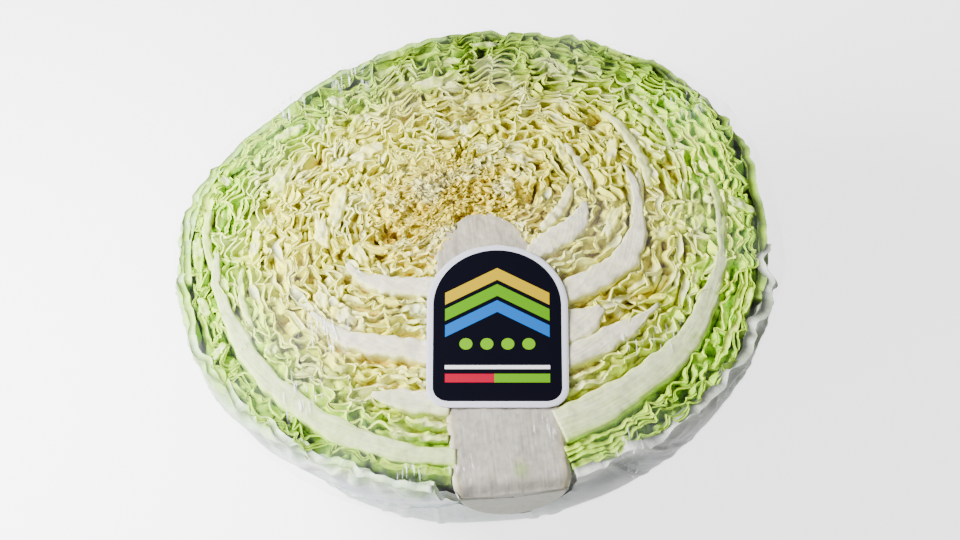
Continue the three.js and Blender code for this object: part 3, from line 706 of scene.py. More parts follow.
def leaf_parts(side, k):
    """All parts of one cut leaf: its body deeper in the head, what lies on it, its rib if the
    knife met it, and its crinkled sheets, which are thicker and straighter at the stalk"""
    random = np.random.default_rng(100 + 20 * k + side)
    rib_span = LEAVES[side][k][2]

    def outer_of(angle):
        return edge_level(side, k, angle) - LEAF_MARGIN

    def inner_of(angle):
        return edge_level(side, k + 1, angle) + LEAF_MARGIN

    def middle(angle):
        return (outer_of(angle) + inner_of(angle)) / 2

    start = start_angle(side, middle, 0.5)
    parts = [leaf_body(side, k, start_angle(side, middle, 4))] + carried(side, k)
    sheets_from = start
    if rib_span:
        rib_length = np.radians(rib_span) * MEAN_RADIUS * middle(np.array([start]))[0]
        angles = np.linspace(start - 1.0, start + rib_span, max(40, int(rib_length / RIB_STEP)))

        def width_of(angle):
            taper = 0.6 if (side, k) == (-1, 1) else 0.8
            return 1 - taper * smooth(0.55 * rib_span, 1.05 * rib_span, angle - start)

        parts.append(rib(side, outer_of, inner_of, angles, width_of))
        sheets_from = start + 0.62 * rib_span
    far = np.array([120.0])
    count = max(2, int(round((outer_of(far) - inner_of(far))[0] * MEAN_RADIUS / SHEET_SPACING)))
    shares = [((m + 0.5) / count, False) for m in range(count)]
    if k == 0:
        shares.append((0.05, False))
    shares += [(m / count, True) for m in range(1, count)]
    for n, (share, extra) in enumerate(shares):
        def level_of(angle, share=share, n=n):
            drift = 0.14 * noise_of(41, angle / 9, 3.7 * n, k)
            return mix(outer_of(angle), inner_of(angle), share + drift)

        begin = sheets_from + (random.uniform(0, 4) if rib_span else 0)
        finish = seam_angle(side, level_of(np.array([175.0]))[0]) - 0.8
        if extra:
            probe = np.arange(begin, finish, 1.0)
            spacing = (outer_of(probe) - inner_of(probe)) * MEAN_RADIUS / count
            wide = probe[spacing > WIDE_SPACING]
            if len(wide) < SHORTEST:
                continue
            begin, finish = wide[0], wide[-1]
        arc = np.radians(finish - begin) * MEAN_RADIUS * level_of(np.array([110.0]))[0]
        angles = np.linspace(begin, finish, max(24, int(arc / SHEET_STEP)))
        past = angles - start
        swing = mix(0.35, 1.9, smooth(2, 30, past)) * smooth(-2, 6, angles - begin + 4)
        spans = [(random.uniform(begin, finish), random.uniform(4, 10), random.uniform(0.3, 1.1))
                 for _ in range(random.integers(0, 4))]
        half = 0.36 + 0.5 * (1 - smooth(2, 26, past))[:, None]
        parts.append(crinkled_sheet(side, level_of, angles, half, swing, thick_spans=spans))
    return parts


# ---------------------------------------------------------------- heart

# The core's rings: how many cross its top, and the shares and slopes of those below it
HEART_TOP_RINGS = 26
HEART_LOWER_RINGS = [(0.83, 42), (0.83, 68), (0.83, 86)]
HEART_SHEET_STEP, HEART_CRINKLE, HEART_DEPTH = 0.42, 0.55, 0.6


def heart_level(side, angle):
    """The heart's outer level, the smaller of the two sides' near the stem and the top"""
    own, other = (edge_level(s, len(LEAVES[s]), angle) for s in (side, -side))
    meeting = np.clip(bump(angle, 0, 40) + bump(angle, 180, 40), 0, 1)
    return mix(own, np.minimum(own, other), meeting) - LEAF_MARGIN


def heart_parts():
    """Small crumpled leaves on a lumpy core"""
    turn = np.linspace(-180, 180, 150, endpoint=False)
    side, angle = np.where(turn < 0, -1, 1), np.abs(turn)
    outer = np.where(turn < 0, heart_level(-1, angle), heart_level(1, angle))
    shares = [(share, 0) for share in np.linspace(0.03, 0.92, HEART_TOP_RINGS)]
    shares += HEART_LOWER_RINGS
    rings = np.stack([shell_at(side, outer * share, angle, slope) for share, slope in shares])
    level = np.stack([outer * share for share, _ in shares])
    top = rings[:HEART_TOP_RINGS]
    folds = noise(top / 2.6, 9) + 0.6 * noise(top / 1.3, 14)
    top[..., 2] += np.minimum(1.9 * np.sin(1.7 * folds), 1.5) - 2.3 - hollow_depth(top)
    drop = CUT_HEIGHT - rings[..., 2]
    # Painted shade: the colour goes dim and warm with depth below the cut face
    tint = flesh_tint(level, np.minimum(drop * 1.3, 8), rings, 0 * drop, 0 * drop)
    parts = [tube(rings, tint=tint, grain=triples(level * 90, angle, drop))]
    for n, share in enumerate(np.arange(0.97, 0.1, -0.085)):
        for side in (1, -1):
            def level_of(angle, share=share, side=side, n=n):
                drift = noise_of(42, angle / 14, 2.3 * n, side)
                return (share + 0.09 * drift) * heart_level(side, angle)

            begin = start_angle(side, level_of, 0.5)
            finish = seam_angle(side, level_of(np.array([175.0]))[0]) - 2
            arc = np.radians(finish - begin) * MEAN_RADIUS * level_of(np.array([110.0]))[0]
            angles = np.linspace(begin, finish, max(16, int(arc / HEART_SHEET_STEP)))
            swing = 1.5 * np.ones(len(angles)) * min(1, share + 0.35)
            parts.append(crinkled_sheet(
                side, level_of, angles, 0.3 * np.ones((len(angles), 1)), swing,
                fine=HEART_CRINKLE, seed=7 * n, drops=BLADE_DROPS[:7] * HEART_DEPTH))
    return parts


# ---------------------------------------------------------------- stalk

PITH, PITH_LUMPS, PITH_TIP = rgb(0.58, 0.53, 0.46), rgb(0.66, 0.63, 0.52), rgb(0.80, 0.70, 0.44)
STALK_SKIN, STALK_RIM = rgb(0.76, 0.64, 0.36), rgb(0.74, 0.74, 0.62)
GREEN_SPOT = rgb(0.42, 0.58, 0.16)
SPOT_X, SPOT_Y, SPOT_RADIUS = 5.5, -80, 4.2
# STALK_SHADE scales the whole stalk's colour down: painted shade
STALK_SHADE = 0.62
STALK_STANDS = 0.15


def stalk_parts():
    """The cut stem core: a half-round profile carried along Y, with a flat fibrous face, a
    frayed edge and a blunt tip"""
    y = np.concatenate([np.linspace(-86.9, -84, 9), np.linspace(-83.5, 14.8, 165)])
    places, radii = np.transpose(STALK_STATIONS)
    radius = np.interp(y, places, radii)
    radius = np.convolve(np.pad(radius, 3, mode="edge"), np.ones(7) / 7, mode="valid")
    across = np.linspace(-1, 1, 65)
    under = np.linspace(0, np.pi, 29)[1:-1]
    frayed = noise_of(4, y / 7, 3.3, 0) + 0.5 * noise_of(6, y / 2.2, 0, 0)
    reach = (radius + 0.6 * frayed * smooth(-84, -78, y))[:, None]
    x = STALK_X + np.concatenate([across, np.cos(under)]) * reach
    z = np.concatenate([0 * across, -np.sin(under)]) * reach
    points = triples(x, y[:, None], CUT_HEIGHT + z)
    on_top = np.concatenate([np.ones(len(across)), np.zeros(len(under))]) + 0 * x
    rim = np.concatenate([np.abs(across), np.ones(len(under))]) + 0 * x
    fibre = noise_of(12, points[..., 0] / 0.9, points[..., 1] / 14, 0)
    lumps, pith = noise(points / 7, 13), noise(points / 1.7, 11)
    points[..., 2] += on_top * (0.045 * fibre + 0.3 * lumps + 0.12 * pith - 0.2
                                - 0.9 * smooth(0.93, 1.0, rim))
    points[..., 2] = np.minimum(points[..., 2], CUT_HEIGHT + STALK_STANDS)
    points[..., 2] -= on_top * 3.0 * smooth(-81.5, -86.9, points[..., 1]) ** 2
    tint = tinted(PITH, PITH_LUMPS, 0.5 + 0.15 * fibre + 0.6 * lumps)
    skin = smooth(0.8, 0.95, rim + 0.06 * frayed[:, None])
    tint = tinted(tint, STALK_SKIN, 0.7 * skin * (0.75 + 0.25 * lumps))
    tint = tinted(tint, STALK_RIM, smooth(0.97, 1.0, rim))
    tint = tinted(tint, PITH_TIP, 0.4 * smooth(-8, 14, points[..., 1]))
    from_spot = np.hypot(points[..., 0] - SPOT_X, (points[..., 1] - SPOT_Y) * 0.8)
    tint = tinted(tint, GREEN_SPOT, 0.75 * bump(from_spot, 0, SPOT_RADIUS) * on_top)
    grain = triples(points[..., 1], points[..., 0], 0)
    # Painted shade: the whole tint is scaled down by STALK_SHADE
    return [tube(points, tint=tint * STALK_SHADE, grain=grain)]


# ---------------------------------------------------------------- wrapper leaves

WHITE_BASE, BASE_MOTTLE = rgb(0.60, 0.66, 0.70), rgb(0.44, 0.62, 0.26)
BASE_STREAK, BASE_RIM = rgb(0.80, 0.84, 0.82), rgb(0.80, 0.84, 0.72)
GREEN_RIM = rgb(0.38, 0.66, 0.01)
# Millimetres between side veins, and the sizes of the two nets' cells
VEIN_SPACING, NET_CELL, FINE_NET_CELL = 24.0, 9.0, 3.8
# Longitudes of the three midribs
OUTER_MIDRIB, LEFT_MIDRIB, TOP_MIDRIB = 12, -52, 25


def wrapper_point(level, latitude, longitude):
    """Latitude runs from the stem end (0) to the top of the head (180), longitude from the
    left rim (-90) under the head (0) to the right rim (90)"""
    steep, turn = np.radians(latitude), np.radians(longitude)
    ring = np.sin(steep)
    return shell_point(level, ring * np.sin(turn), -np.cos(steep), -ring * np.cos(turn))


def outer_tip(longitude):
    """Latitude at which the outer leaf ends, at a longitude"""
    tip = 108 + 6 * np.cos(np.radians(2 * (longitude - 30))) + 2 * np.sin(np.radians(9 * longitude))
    return tip - 22 * smooth(35, 85, longitude)


def outer_free_edge(latitude):
    """Longitude at which the outer leaf's left side ends, at a latitude"""
    return -44 - 10 * bump(latitude, 70, 50) + 2.5 * np.sin(np.radians(7 * latitude))


def left_tip(longitude):
    """Latitude at which the left leaf ends, at a longitude"""
    tip = 122 + 8 * np.cos(np.radians(2 * (longitude + 50)))
    return tip + 2 * np.sin(np.radians(11 * longitude))


def covered(past_one, past_other):
    """1 where a leaf lies under another, to 0 past the other's two edges"""
    return (1 - smooth(13, 28, past_one)) * (1 - smooth(13, 28, past_other))


def under_outer(latitude, longitude):
    return covered(outer_free_edge(latitude) - longitude, latitude - outer_tip(longitude))


def under_left(latitude, longitude):
    return covered(longitude + 8, latitude - left_tip(longitude))


def wrapper_places(name, t, v):
    """Latitude and longitude of a place from 0 to 1 along (t) and across (v) each leaf, and
    the leaf's level there and the longitude of its midrib"""
    if name == "wrapper_leaf":
        longitude = mix(outer_free_edge(mix(STEM_OPENING, outer_tip(0), t)), 90, v)
        latitude = mix(STEM_OPENING, outer_tip(longitude), t)
        return latitude, longitude, 1 + 0 * latitude, OUTER_MIDRIB
    if name == "wrapper_leaf_left":
        longitude = mix(-90, -8, v) + 0 * t
        latitude = mix(STEM_OPENING, left_tip(longitude), t)
        level = 1 - LAYER_DROP * under_outer(latitude, longitude)
        return latitude, longitude, level, LEFT_MIDRIB
    longitude = mix(-90, 90, v) + 0 * t
    latitude = mix(80 - 0.1 * longitude, 180, t)
    laps = under_outer(latitude, longitude) + under_left(latitude, longitude)
    return latitude, longitude, 1 - LAYER_DROP * laps, TOP_MIDRIB


def wrapper_parts(name, rows, columns):
    """One wrapper leaf: a midrib, side veins that branch from it, a net of small veins and
    the pillows between them, smooth and white near the stem, and smooth where it rests. Its
    free edges curl in to what lies under them, and near the cut it is crinkled. The inner
    face is plain."""
    has_base = name == "wrapper_leaf"
    t, v = np.meshgrid(np.linspace(0, 1, rows), np.linspace(0, 1, columns), indexing="ij")
    v = v - 0.35 * v * (1 - v) * (2 * v - 1)
    latitude, longitude, level, midrib = wrapper_places(name, t, v)
    base = wrapper_point(level, latitude, longitude)
    ring = np.sin(np.radians(latitude))
    length = np.radians(latitude) * MEAN_RADIUS
    across = np.radians(longitude - midrib) * ring * MEAN_RADIUS
    from_midrib = np.abs(across)
    from_rim = np.radians(90 - np.abs(longitude)) * ring * MEAN_RADIUS
    leafy = smooth(42, 92, latitude + 0.2 * from_midrib + 7 * noise(base / 30, 31))
    lapped = np.clip((1 - level) / LAYER_DROP, 0, 1)

    on_midrib = np.exp(-(across / 7) ** 2) * (1 - smooth(60, 135, latitude))
    phase = (length - 0.85 * from_midrib + 3 * noise(base / 22, 32)) / VEIN_SPACING
    off_vein = np.abs(phase - np.round(phase)) * VEIN_SPACING
    side_vein = (np.exp(-(off_vein / 1.3) ** 2) * smooth(2, 8, from_midrib)
                 * (1 - smooth(50, 85, from_midrib)))
    near, next_near = cells(base / NET_CELL, 3)
    net, pillow = 1 - smooth(0.0, 0.22, next_near - near), smooth(0.0, 0.75, next_near - near)
    near, next_near = cells(base / FINE_NET_CELL, 5)
    fine_net = 1 - smooth(0.0, 0.3, next_near - near)
    lines = noise_of(34, across / 4.5, length / 80, 0)
    relief = 0.3 - 0.3 * on_midrib - 0.35 * side_vein * (0.4 + 0.6 * leafy)
    relief += leafy * (0.95 * pillow - 0.16 * fine_net - 0.15 * net) + 0.35 * noise(base / 16, 33)
    relief -= (1 - 0.7 * leafy) * (0.55 * smooth(0.25, 0.6, lines) - 0.1)
    resting = bump(np.hypot(latitude - 90, longitude), 0, 34)
    relief = np.clip(relief, -0.3, 1.7) * (1 - resting) * (1 - 0.6 * lapped)

    crinkled = smooth(20, 2, from_rim) * (0.15 + 0.85 * leafy if has_base else 1)
    waves = np.sin(3 * noise(base / 6.5, 37)) + 0.5 * noise(base / 3, 38)
    slow_waves = (2.4 if has_base else 0.9) * noise(base / 15, 39)
    pull = crinkled * (0.7 + 1.1 * waves) + smooth(16, 0, from_rim) * (0.5 + slow_waves)
    pull = np.maximum(pull, -0.4) * (1 - 0.8 * lapped)
    if not has_base:
        pull = np.minimum(pull, 2.6 - relief)
    thickness = mix(WRAPPER_THICKNESS, 3.3 if has_base else 2.6, smooth(14, 2, from_rim))
    if name != "wrapper_leaf_top":
        tip = outer_tip(longitude) if has_base else left_tip(longitude)
        from_edge = np.radians(tip - latitude) * MEAN_RADIUS
        if has_base:
            beside = np.radians(longitude - outer_free_edge(latitude)) * ring * MEAN_RADIUS
            from_edge = np.minimum(from_edge, beside)
        thickness = thickness * mix(1, 0.55, bump(from_edge, 0, 10))
        pull = pull + 2.0 * bump(from_edge, 0, 12)
        if has_base:
            pull = pull + 3.2 * bump(longitude, 8, 32) * bump(from_edge, 0, 18)
    front = wrapper_point(level - (relief + pull) / MEAN_RADIUS, latitude, longitude)
    inside = level - (thickness + 0.4 * relief + pull) / MEAN_RADIUS
    back = wrapper_point(inside, latitude, longitude)
    sink = 0.5 + 1.0 * noise(base / 13, 35) + 1.3 * crinkled * noise(base / 4.5, 45)
    sink = np.maximum(bump(from_rim, 0, 14) * sink, 0) * (base[..., 2] > CUT_HEIGHT - 30)
    for face in (front, back):
        face[..., 2] = np.maximum(face[..., 2] - sink, 0.05)

    veins = np.clip(on_midrib + 0.8 * side_vein + 0.45 * net + 0.2 * fine_net, 0, 1)
    mottled = 0.5 + 0.5 * noise(base / 8, 36)
    streaks = 0.5 + 0.5 * noise_of(46, across / 1.6, length / 30, 0)
    colour = tinted(WHITE_BASE, BASE_MOTTLE, 0.65 * mottled * streaks * (1 - on_midrib))
    colour = tinted(colour, BASE_STREAK, 0.7 * smooth(0.2, 0.6, lines) * (1 - leafy))
    green = tinted(GREEN * 1.2, GREEN_DARK * 1.5, 0.5 * pillow)
    colour = tinted(colour, green, 0.9 * (leafy * (1 - 0.75 * veins)))
    # Painted shade: the colour dims towards the right of the dome. Painted light: it brightens
    # towards the left where the leaf is white.
    painted_shade_right = smooth(5, 50, longitude) * (0.66 + 0.16 * smooth(0.45, 0.8, streaks))
    paler = 0.45 * smooth(-10, -60, longitude) * (1 - leafy)
    colour = colour * (1 - painted_shade_right)[..., None] * (1 + paler)[..., None]
    rimmed = np.clip(0.75 * smooth(12, 1, from_rim) * (0.7 + 0.3 * waves), 0, 1)
    colour = tinted(colour, BASE_RIM if has_base else GREEN_RIM, rimmed)
    return [slab(front, back, tint=np.clip(colour, 0, 1), grain=triples(length, across, relief))]


# ---------------------------------------------------------------- cling film and tag

TAG_WIDTH, TAG_LENGTH, TAG_THICKNESS, TAG_CORNER = 46.0, 60.0, 0.5, 7.0
TAG_X, TAG_Y, TAG_TURN = 3.7, -27.7, -6.3
TAG_BOTTOM = CUT_HEIGHT + 0.35
# Clusters of glints in the stretched film: x, y and radius
GLINTS = [(45, -38, 8), (59, -38, 9), (41, -75, 7), (14, -67, 7), (-31, -77, 7), (-13, -78, 7),
          (-52, -25, 12), (-63, -46, 12), (-35, 72, 9), (-56, 62, 9), (76, 51, 10)]
# Where the film stands off at the rim: how far, the degrees round the head, half-width
STANDING = ((2.4, 124, 30), (1.6, 84, 16), (0.9, 180, 30))
PLEATS = 52


def film_parts():
    """The film drawn tight over the cut face, standing off in places at the rim, over the
    dome with slack folds, and gathered in pleats underneath: rings round the growing point
    from the middle of the cut face out over the rim and down to the middle of the bottom"""
    turn = np.linspace(0, 360, 264, endpoint=False)[None, :]
    level = np.concatenate([np.linspace(0.03, 0.97, 50), np.linspace(0.978, 1, 5), np.ones(58)])
    slope = np.concatenate([np.zeros(54), np.linspace(0.5, 6, 7), np.linspace(8, 52, 28),
                            np.linspace(53.5, 88, 24)])
    level, slope = level[:, None], slope[:, None]
    base = shell_at(1, level, turn, slope)
    wide = noise(base / 17, 51)
    folded = np.abs(noise(base / (4.5, 4.5, 22), 52))
    tag_x, tag_y = turned(base[..., 0] - TAG_X, base[..., 1] - TAG_Y, TAG_TURN)
    past_tag = np.maximum(np.abs(tag_x) - TAG_WIDTH / 2, np.abs(tag_y) - TAG_LENGTH / 2)
    taut = 0.22 + smooth(0, 7, past_tag) * (0.30 + 0.22 * wide + 0.22 * folded)
    rise = np.where(slope == 0, taut, 0.5 * smooth(3, 0, slope))
    standing = sum(height * bump(turn, middle, half) for height, middle, half in STANDING)
    standing = (standing * (0.7 + 0.5 * noise(base / 9, 53)) * smooth(0.965, 1, level)
                * (1 - smooth(14, 40, slope)))
    slack = 0.15 + 0.25 * wide + 0.45 * folded * smooth(2, 20, slope)
    pleats = 1 - np.abs(np.mod(turn / 360 * PLEATS + 0.7 * noise(base / 12, 54), 2) - 1) * 2
    gathered = smooth(50, 66, slope) * (1 - smooth(80, 88, slope))
    off = np.maximum(slack, 0.1) + np.maximum(standing, 0) + gathered * (0.7 + 0.6 * pleats)
    off = off * smooth(0.96, 1, level)
    points = shell_at(1, level + off / MEAN_RADIUS, turn, slope)
    points[..., 2] = np.maximum(points[..., 2] + rise, 0)
    crease = (0.3 * folded * smooth(0.9, 1, level) + 0.5 * gathered * (pleats > 0.3)
              + 0.6 * folded * smooth(0.5, 2, standing))
    shine = np.zeros(crease.shape)
    for x, y, radius in GLINTS:
        reach = np.hypot(points[..., 0] - x, points[..., 1] - y)
        shine = np.maximum(shine, bump(reach, 0, radius))
    shine = shine * smooth(60, 80, points[..., 2])
    return [tube(points, crease=np.clip(crease, 0, 1), shine=shine)]


def tag_parts():
    """A round-topped card: rows across it, each as wide as the outline is there. Its place
    attribute holds x and y on the card and the distance from the edge."""
    y = np.concatenate([np.linspace(0, TAG_CORNER, 9),
                        np.linspace(TAG_CORNER, TAG_LENGTH, 48)[1:]]) - TAG_LENGTH / 2
    half, top = TAG_WIDTH / 2, TAG_LENGTH / 2 - TAG_WIDTH / 2
    low = np.clip(TAG_CORNER - (y + TAG_LENGTH / 2), 0, TAG_CORNER)
    width = half - TAG_CORNER + np.sqrt(np.maximum(TAG_CORNER ** 2 - low ** 2, 0))
    width = np.where(y > top, np.sqrt(np.maximum(half ** 2 - (y - top) ** 2, 0.16)), width)
    x = np.sin(np.linspace(-np.pi / 2, np.pi / 2, 41)) * width[:, None]
    y = y[:, None] + 0 * x
    edge = np.minimum(np.minimum(width[:, None] - np.abs(x), y + TAG_LENGTH / 2),
                      np.where(y > top, half - np.hypot(x, np.maximum(y - top, 0)), TAG_WIDTH))
    corner = (np.abs(x) > half - TAG_CORNER) & (y < TAG_CORNER - TAG_LENGTH / 2)
    reach = np.hypot(np.abs(x) - half + TAG_CORNER, y + TAG_LENGTH / 2 - TAG_CORNER)
    edge = np.where(corner, TAG_CORNER - reach, edge)
    dx, dy = turned(x, y, -TAG_TURN)
    bevel = 0.14 * (1 - smooth(0, 0.5, edge))
    front = triples(TAG_X + dx, TAG_Y + dy, TAG_BOTTOM + TAG_THICKNESS - bevel)
    back = triples(TAG_X + dx, TAG_Y + dy, TAG_BOTTOM)
    return [slab(front, back, place=triples(x, y, edge))]


# ---------------------------------------------------------------- materials

BUMP_DEPTH = 0.4 * MM
# Inks of the tag
CARD, BLACK, WHITE = (0.60, 0.60, 0.70, 1), (0.0025, 0.0025, 0.006), (0.80, 0.80, 0.82)
YELLOW, LEAF_GREEN, BLUE = (0.42, 0.28, 0.0), (0.075, 0.25, 0.0), (0.004, 0.10, 0.38)
LIME, RED, BAR_GREEN = (0.12, 0.32, 0.0), (0.33, 0.003, 0.025), (0.09, 0.28, 0.0)


def new_material(name):
    material = bpy.data.materials.new(name)
    material.use_nodes = True
    tree = material.node_tree
    tree.nodes.clear()
    shader = tree.nodes.new("ShaderNodeBsdfPrincipled")
    output = tree.nodes.new("ShaderNodeOutputMaterial")
    tree.links.new(shader.outputs["BSDF"], output.inputs["Surface"])
    return material, tree, shader


def connect(tree, node, inputs):
    """Links each input to the socket given for it, or sets it to the value given"""
    for key, value in inputs.items():
        if isinstance(value, bpy.types.NodeSocket):
            tree.links.new(value, node.inputs[key])
        else:
            node.inputs[key].default_value = value


def add_node(tree, kind, inputs=None, **settings):
    """Adds a node, sets its settings, and sets or links its inputs"""
    node = tree.nodes.new(kind)
    for key, value in settings.items():
        setattr(node, key, value)
    connect(tree, node, inputs or {})
    return node


def attribute(tree, name, output):
    return add_node(tree, "ShaderNodeAttribute", attribute_name=name).outputs[output]


def object_place(tree):
    return add_node(tree, "ShaderNodeTexCoord").outputs["Object"]


def noise_node(tree, place, scale, detail):
    inputs = {"Vector": place, "Scale": scale, "Detail": detail}
    return add_node(tree, "ShaderNodeTexNoise", inputs).outputs["Fac"]


def in_range(tree, value, low, high, to_low=0.0, to_high=1.0):
    """A value from one range brought into another"""
    return add_node(tree, "ShaderNodeMapRange", {
        "Value": value, "From Min": low, "From Max": high,
        "To Min": to_low, "To Max": to_high}).outputs["Result"]


def raised(tree, height, strength):
    inputs = {"Height": height, "Strength": strength, "Distance": BUMP_DEPTH}
    return add_node(tree, "ShaderNodeBump", inputs).outputs["Normal"]


def chain(tree, operation, *values, clamp=False):
    """A math node on numbers and sockets; gives its result"""
    inputs = dict(enumerate(values))
    node = add_node(tree, "ShaderNodeMath", inputs, operation=operation, use_clamp=clamp)
    return node.outputs["Value"]


def flesh_material(name, roughness, fibre_share, subsurface, relief):
    """Leaf flesh: the painted tint, mottled, with fine fibres that run along the leaf"""
    material, tree, shader = new_material(name)
    stretch = add_node(tree, "ShaderNodeMapping", {
        "Vector": attribute(tree, "grain", "Vector"), "Scale": (0.05, 1.3, 0.6)})
    fibre = noise_node(tree, stretch.outputs["Vector"], 1.0, 4.0)
    mottle = noise_node(tree, object_place(tree), 420.0, 5.0)
    shade = in_range(tree, fibre, 0.3, 0.7, 1 - fibre_share, 1 + fibre_share)
    grey = in_range(tree, mottle, 0.3, 0.7, 0.82, 1.12)
    colour = add_node(tree, "ShaderNodeVectorMath", {
        0: attribute(tree, "tint", "Color"), "Scale": chain(tree, "MULTIPLY", shade, grey)},
        operation="SCALE")
    connect(tree, shader, {
        "Base Color": colour.outputs["Vector"],
        "Roughness": in_range(tree, mottle, 0.3, 0.7, roughness - 0.1, roughness + 0.12),
        "Normal": raised(tree, chain(tree, "ADD", fibre, mottle), relief),
        "Subsurface Weight": subsurface, "Subsurface Radius": (1.0, 0.85, 0.2),
        "Subsurface Scale": MM, "Specular IOR Level": 0.2})
    return material


def film_material():
    """Clear film: nearly unseen where it lies flat, milky in folds and where it turns away,
    with short white glints where its shine attribute is above 0"""
    material, tree, shader = new_material("cling film")
    place = object_place(tree)
    fine = add_node(tree, "ShaderNodeMapping", {
        "Vector": place, "Rotation": (0, 0, 0.1), "Scale": (1300, 170, 300)})
    streak = noise_node(tree, fine.outputs["Vector"], 1.0, 3.0)
    veil = in_range(tree, noise_node(tree, place, 28.0, 3.0), 0.5, 0.75, 0.0, 0.06)
    facing = add_node(tree, "ShaderNodeLayerWeight", {"Blend": 0.35}).outputs["Facing"]
    turned_away = chain(tree, "MULTIPLY", chain(tree, "POWER", facing, 3.0), 0.12)
    thin = in_range(tree, streak, 0.58, 0.66)
    shine = attribute(tree, "shine", "Fac")
    glint = chain(tree, "MULTIPLY", chain(tree, "MULTIPLY", thin, shine), 1.2)
    folds = chain(tree, "MULTIPLY", attribute(tree, "crease", "Fac"), 0.32)
    alpha = chain(tree, "ADD", chain(tree, "ADD", veil, turned_away),
                  chain(tree, "ADD", glint, folds), clamp=True)
    connect(tree, shader, {
        "Alpha": alpha, "Normal": raised(tree, streak, 0.5), "Base Color": (1, 1, 1, 1),
        "Roughness": 0.14, "IOR": 1.5})
    return material


def tag_material():
    """Coated card: a near-black field in a pale border, with plain chevrons, dots and bars"""
    material, tree, shader = new_material("printed tag")
    place = attribute(tree, "place", "Vector")
    parts = add_node(tree, "ShaderNodeSeparateXYZ", {0: place})
    x, y, edge = (parts.outputs[n] for n in range(3))
    slant = chain(tree, "ADD", y, chain(tree, "MULTIPLY", chain(tree, "ABSOLUTE", x), 0.55))

    def band(value, centre, half):
        off = chain(tree, "ABSOLUTE", chain(tree, "SUBTRACT", value, centre))
        return chain(tree, "LESS_THAN", off, half)

    def both(a, b):
        return chain(tree, "MULTIPLY", a, b)

    within = band(x, 0.0, 17.0)
    repeat = chain(tree, "PINGPONG", chain(tree, "ADD", x, 17.0), 3.4)
    squared = [chain(tree, "POWER", off, 2.0) for off in (repeat, chain(tree, "SUBTRACT", y, -7.0))]
    dot = chain(tree, "LESS_THAN", chain(tree, "ADD", *squared), 4.4)
    layers = [
        (chain(tree, "GREATER_THAN", edge, 2.1), BLACK),
        (both(within, band(slant, 19.0, 2.2)), YELLOW),
        (both(within, band(slant, 13.0, 2.2)), LEAF_GREEN),
        (both(within, band(slant, 7.0, 2.2)), BLUE),
        (both(band(x, 0.0, 13.0), dot), LIME),
        (both(within, band(y, -15.5, 0.7)), WHITE),
        (both(within, band(y, -19.5, 1.6)), RED),
        (both(band(x, 8.0, 9.0), band(y, -19.5, 1.6)), BAR_GREEN),
    ]
    colour = CARD
    for mask, ink in layers:
        layer = add_node(tree, "ShaderNodeMix", data_type="RGBA")
        connect(tree, layer, {0: mask, 6: colour, 7: (*ink, 1)})
        colour = layer.outputs[2]
    speck = noise_node(tree, place, 1.5, 3.0)
    connect(tree, shader, {
        "Base Color": colour, "Roughness": in_range(tree, speck, 0.0, 1.0, 0.22, 0.38),
        "Specular IOR Level": 0.06})
    return material


# ---------------------------------------------------------------- the pieces

crisp_leaf = flesh_material("crinkled leaf", 0.5, 0.1, 0.25, 0.6)
ribbed_flesh = flesh_material("cut rib and stalk", 0.55, 0.045, 0.15, 0.3)
waxy_leaf = flesh_material("waxy wrapper leaf", 0.42, 0.08, 0.1, 0.6)


def dress(name, parts, material):
    """Makes the piece that takes the place of the solid of the same name"""
    piece = make_piece(name + "_fine", parts, material)
    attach(piece, "root")
    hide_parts(name)


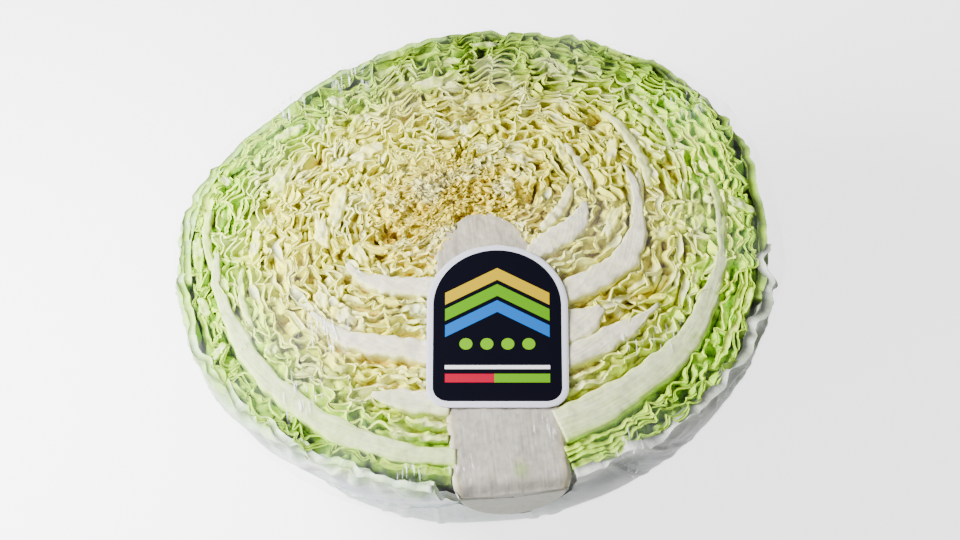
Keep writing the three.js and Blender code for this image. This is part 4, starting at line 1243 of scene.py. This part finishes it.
strew_patches()
for side in (1, -1):
    for k in range(len(LEAVES[side])):
        slot_name = "outer_leaf" if k < 2 else ("middle_leaf" if k < 6 else "inner_leaf")
        dress(f"leaf_{SIDE_NAME[side]}_{k + 1:02d}", leaf_parts(side, k), crisp_leaf)
dress("heart", heart_parts(), crisp_leaf)
dress("stalk", stalk_parts(), ribbed_flesh)
for name, rows, columns, slot_name in (("wrapper_leaf", 140, 160, "wrapper_base"),
                                       ("wrapper_leaf_left", 140, 100, "wrapper_green"),
                                       ("wrapper_leaf_top", 105, 165, "wrapper_green")):
    dress(name, wrapper_parts(name, rows, columns), waxy_leaf)
dress("cling_film", film_parts(), film_material())
dress("label", tag_parts(), tag_material())


# ---------------------------------------------------------------- floor, light and camera

WHITE_LIGHT = (1, 1, 1, 1)
# What the camera looks at, its distance, its directions in degrees and how wide it sees
TARGET = Vector((0.4, -6.3, 92.0)) * MM
DISTANCE, AZIMUTH, ELEVATION, SEEN_WIDTH = 1.2, -6.3, 60.8, 0.315


def look_at(thing, target):
    thing.rotation_euler = (Vector(target) - thing.location).to_track_quat("-Z", "Y").to_euler()


def add_light(name, place, target, size, energy):
    lamp = bpy.data.lights.new(name, "AREA")
    lamp.shape, lamp.size, lamp.energy = "DISK", size, energy
    thing = bpy.data.objects.new(name, lamp)
    thing.location = place
    look_at(thing, target)
    bpy.context.scene.collection.objects.link(thing)


bpy.ops.mesh.primitive_plane_add(size=6)
floor = bpy.context.object
floor.name = "floor"
floor_material, floor_tree, floor_shader = new_material("pale floor")
connect(floor_tree, floor_shader, {
    "Base Color": (0.9, 0.9, 0.9, 1), "Roughness": 0.8,
    "Emission Color": WHITE_LIGHT, "Emission Strength": 2.4})
floor.data.materials.append(floor_material)
floor.visible_diffuse = False

world = bpy.data.worlds.new("studio")
world.use_nodes = True
connect(world.node_tree, world.node_tree.nodes["Background"],
        {"Color": WHITE_LIGHT, "Strength": 0.33})
bpy.context.scene.world = world
add_light("key", (-0.27, 0.03, 0.27), (0, 0, 0.09), 0.2, 5.5)
add_light("fill", (-0.5, -0.5, 0.25), (0, 0, 0.06), 0.5, 4.4)

camera_data = bpy.data.cameras.new("camera")
camera = bpy.data.objects.new("camera", camera_data)
bpy.context.scene.collection.objects.link(camera)
bpy.context.scene.camera = camera
azimuth, elevation = np.radians(AZIMUTH), np.radians(ELEVATION)
camera.location = TARGET + DISTANCE * Vector((
    np.sin(azimuth) * np.cos(elevation), -np.cos(azimuth) * np.cos(elevation), np.sin(elevation)))
look_at(camera, TARGET)
camera_data.lens = camera_data.sensor_width * DISTANCE / SEEN_WIDTH
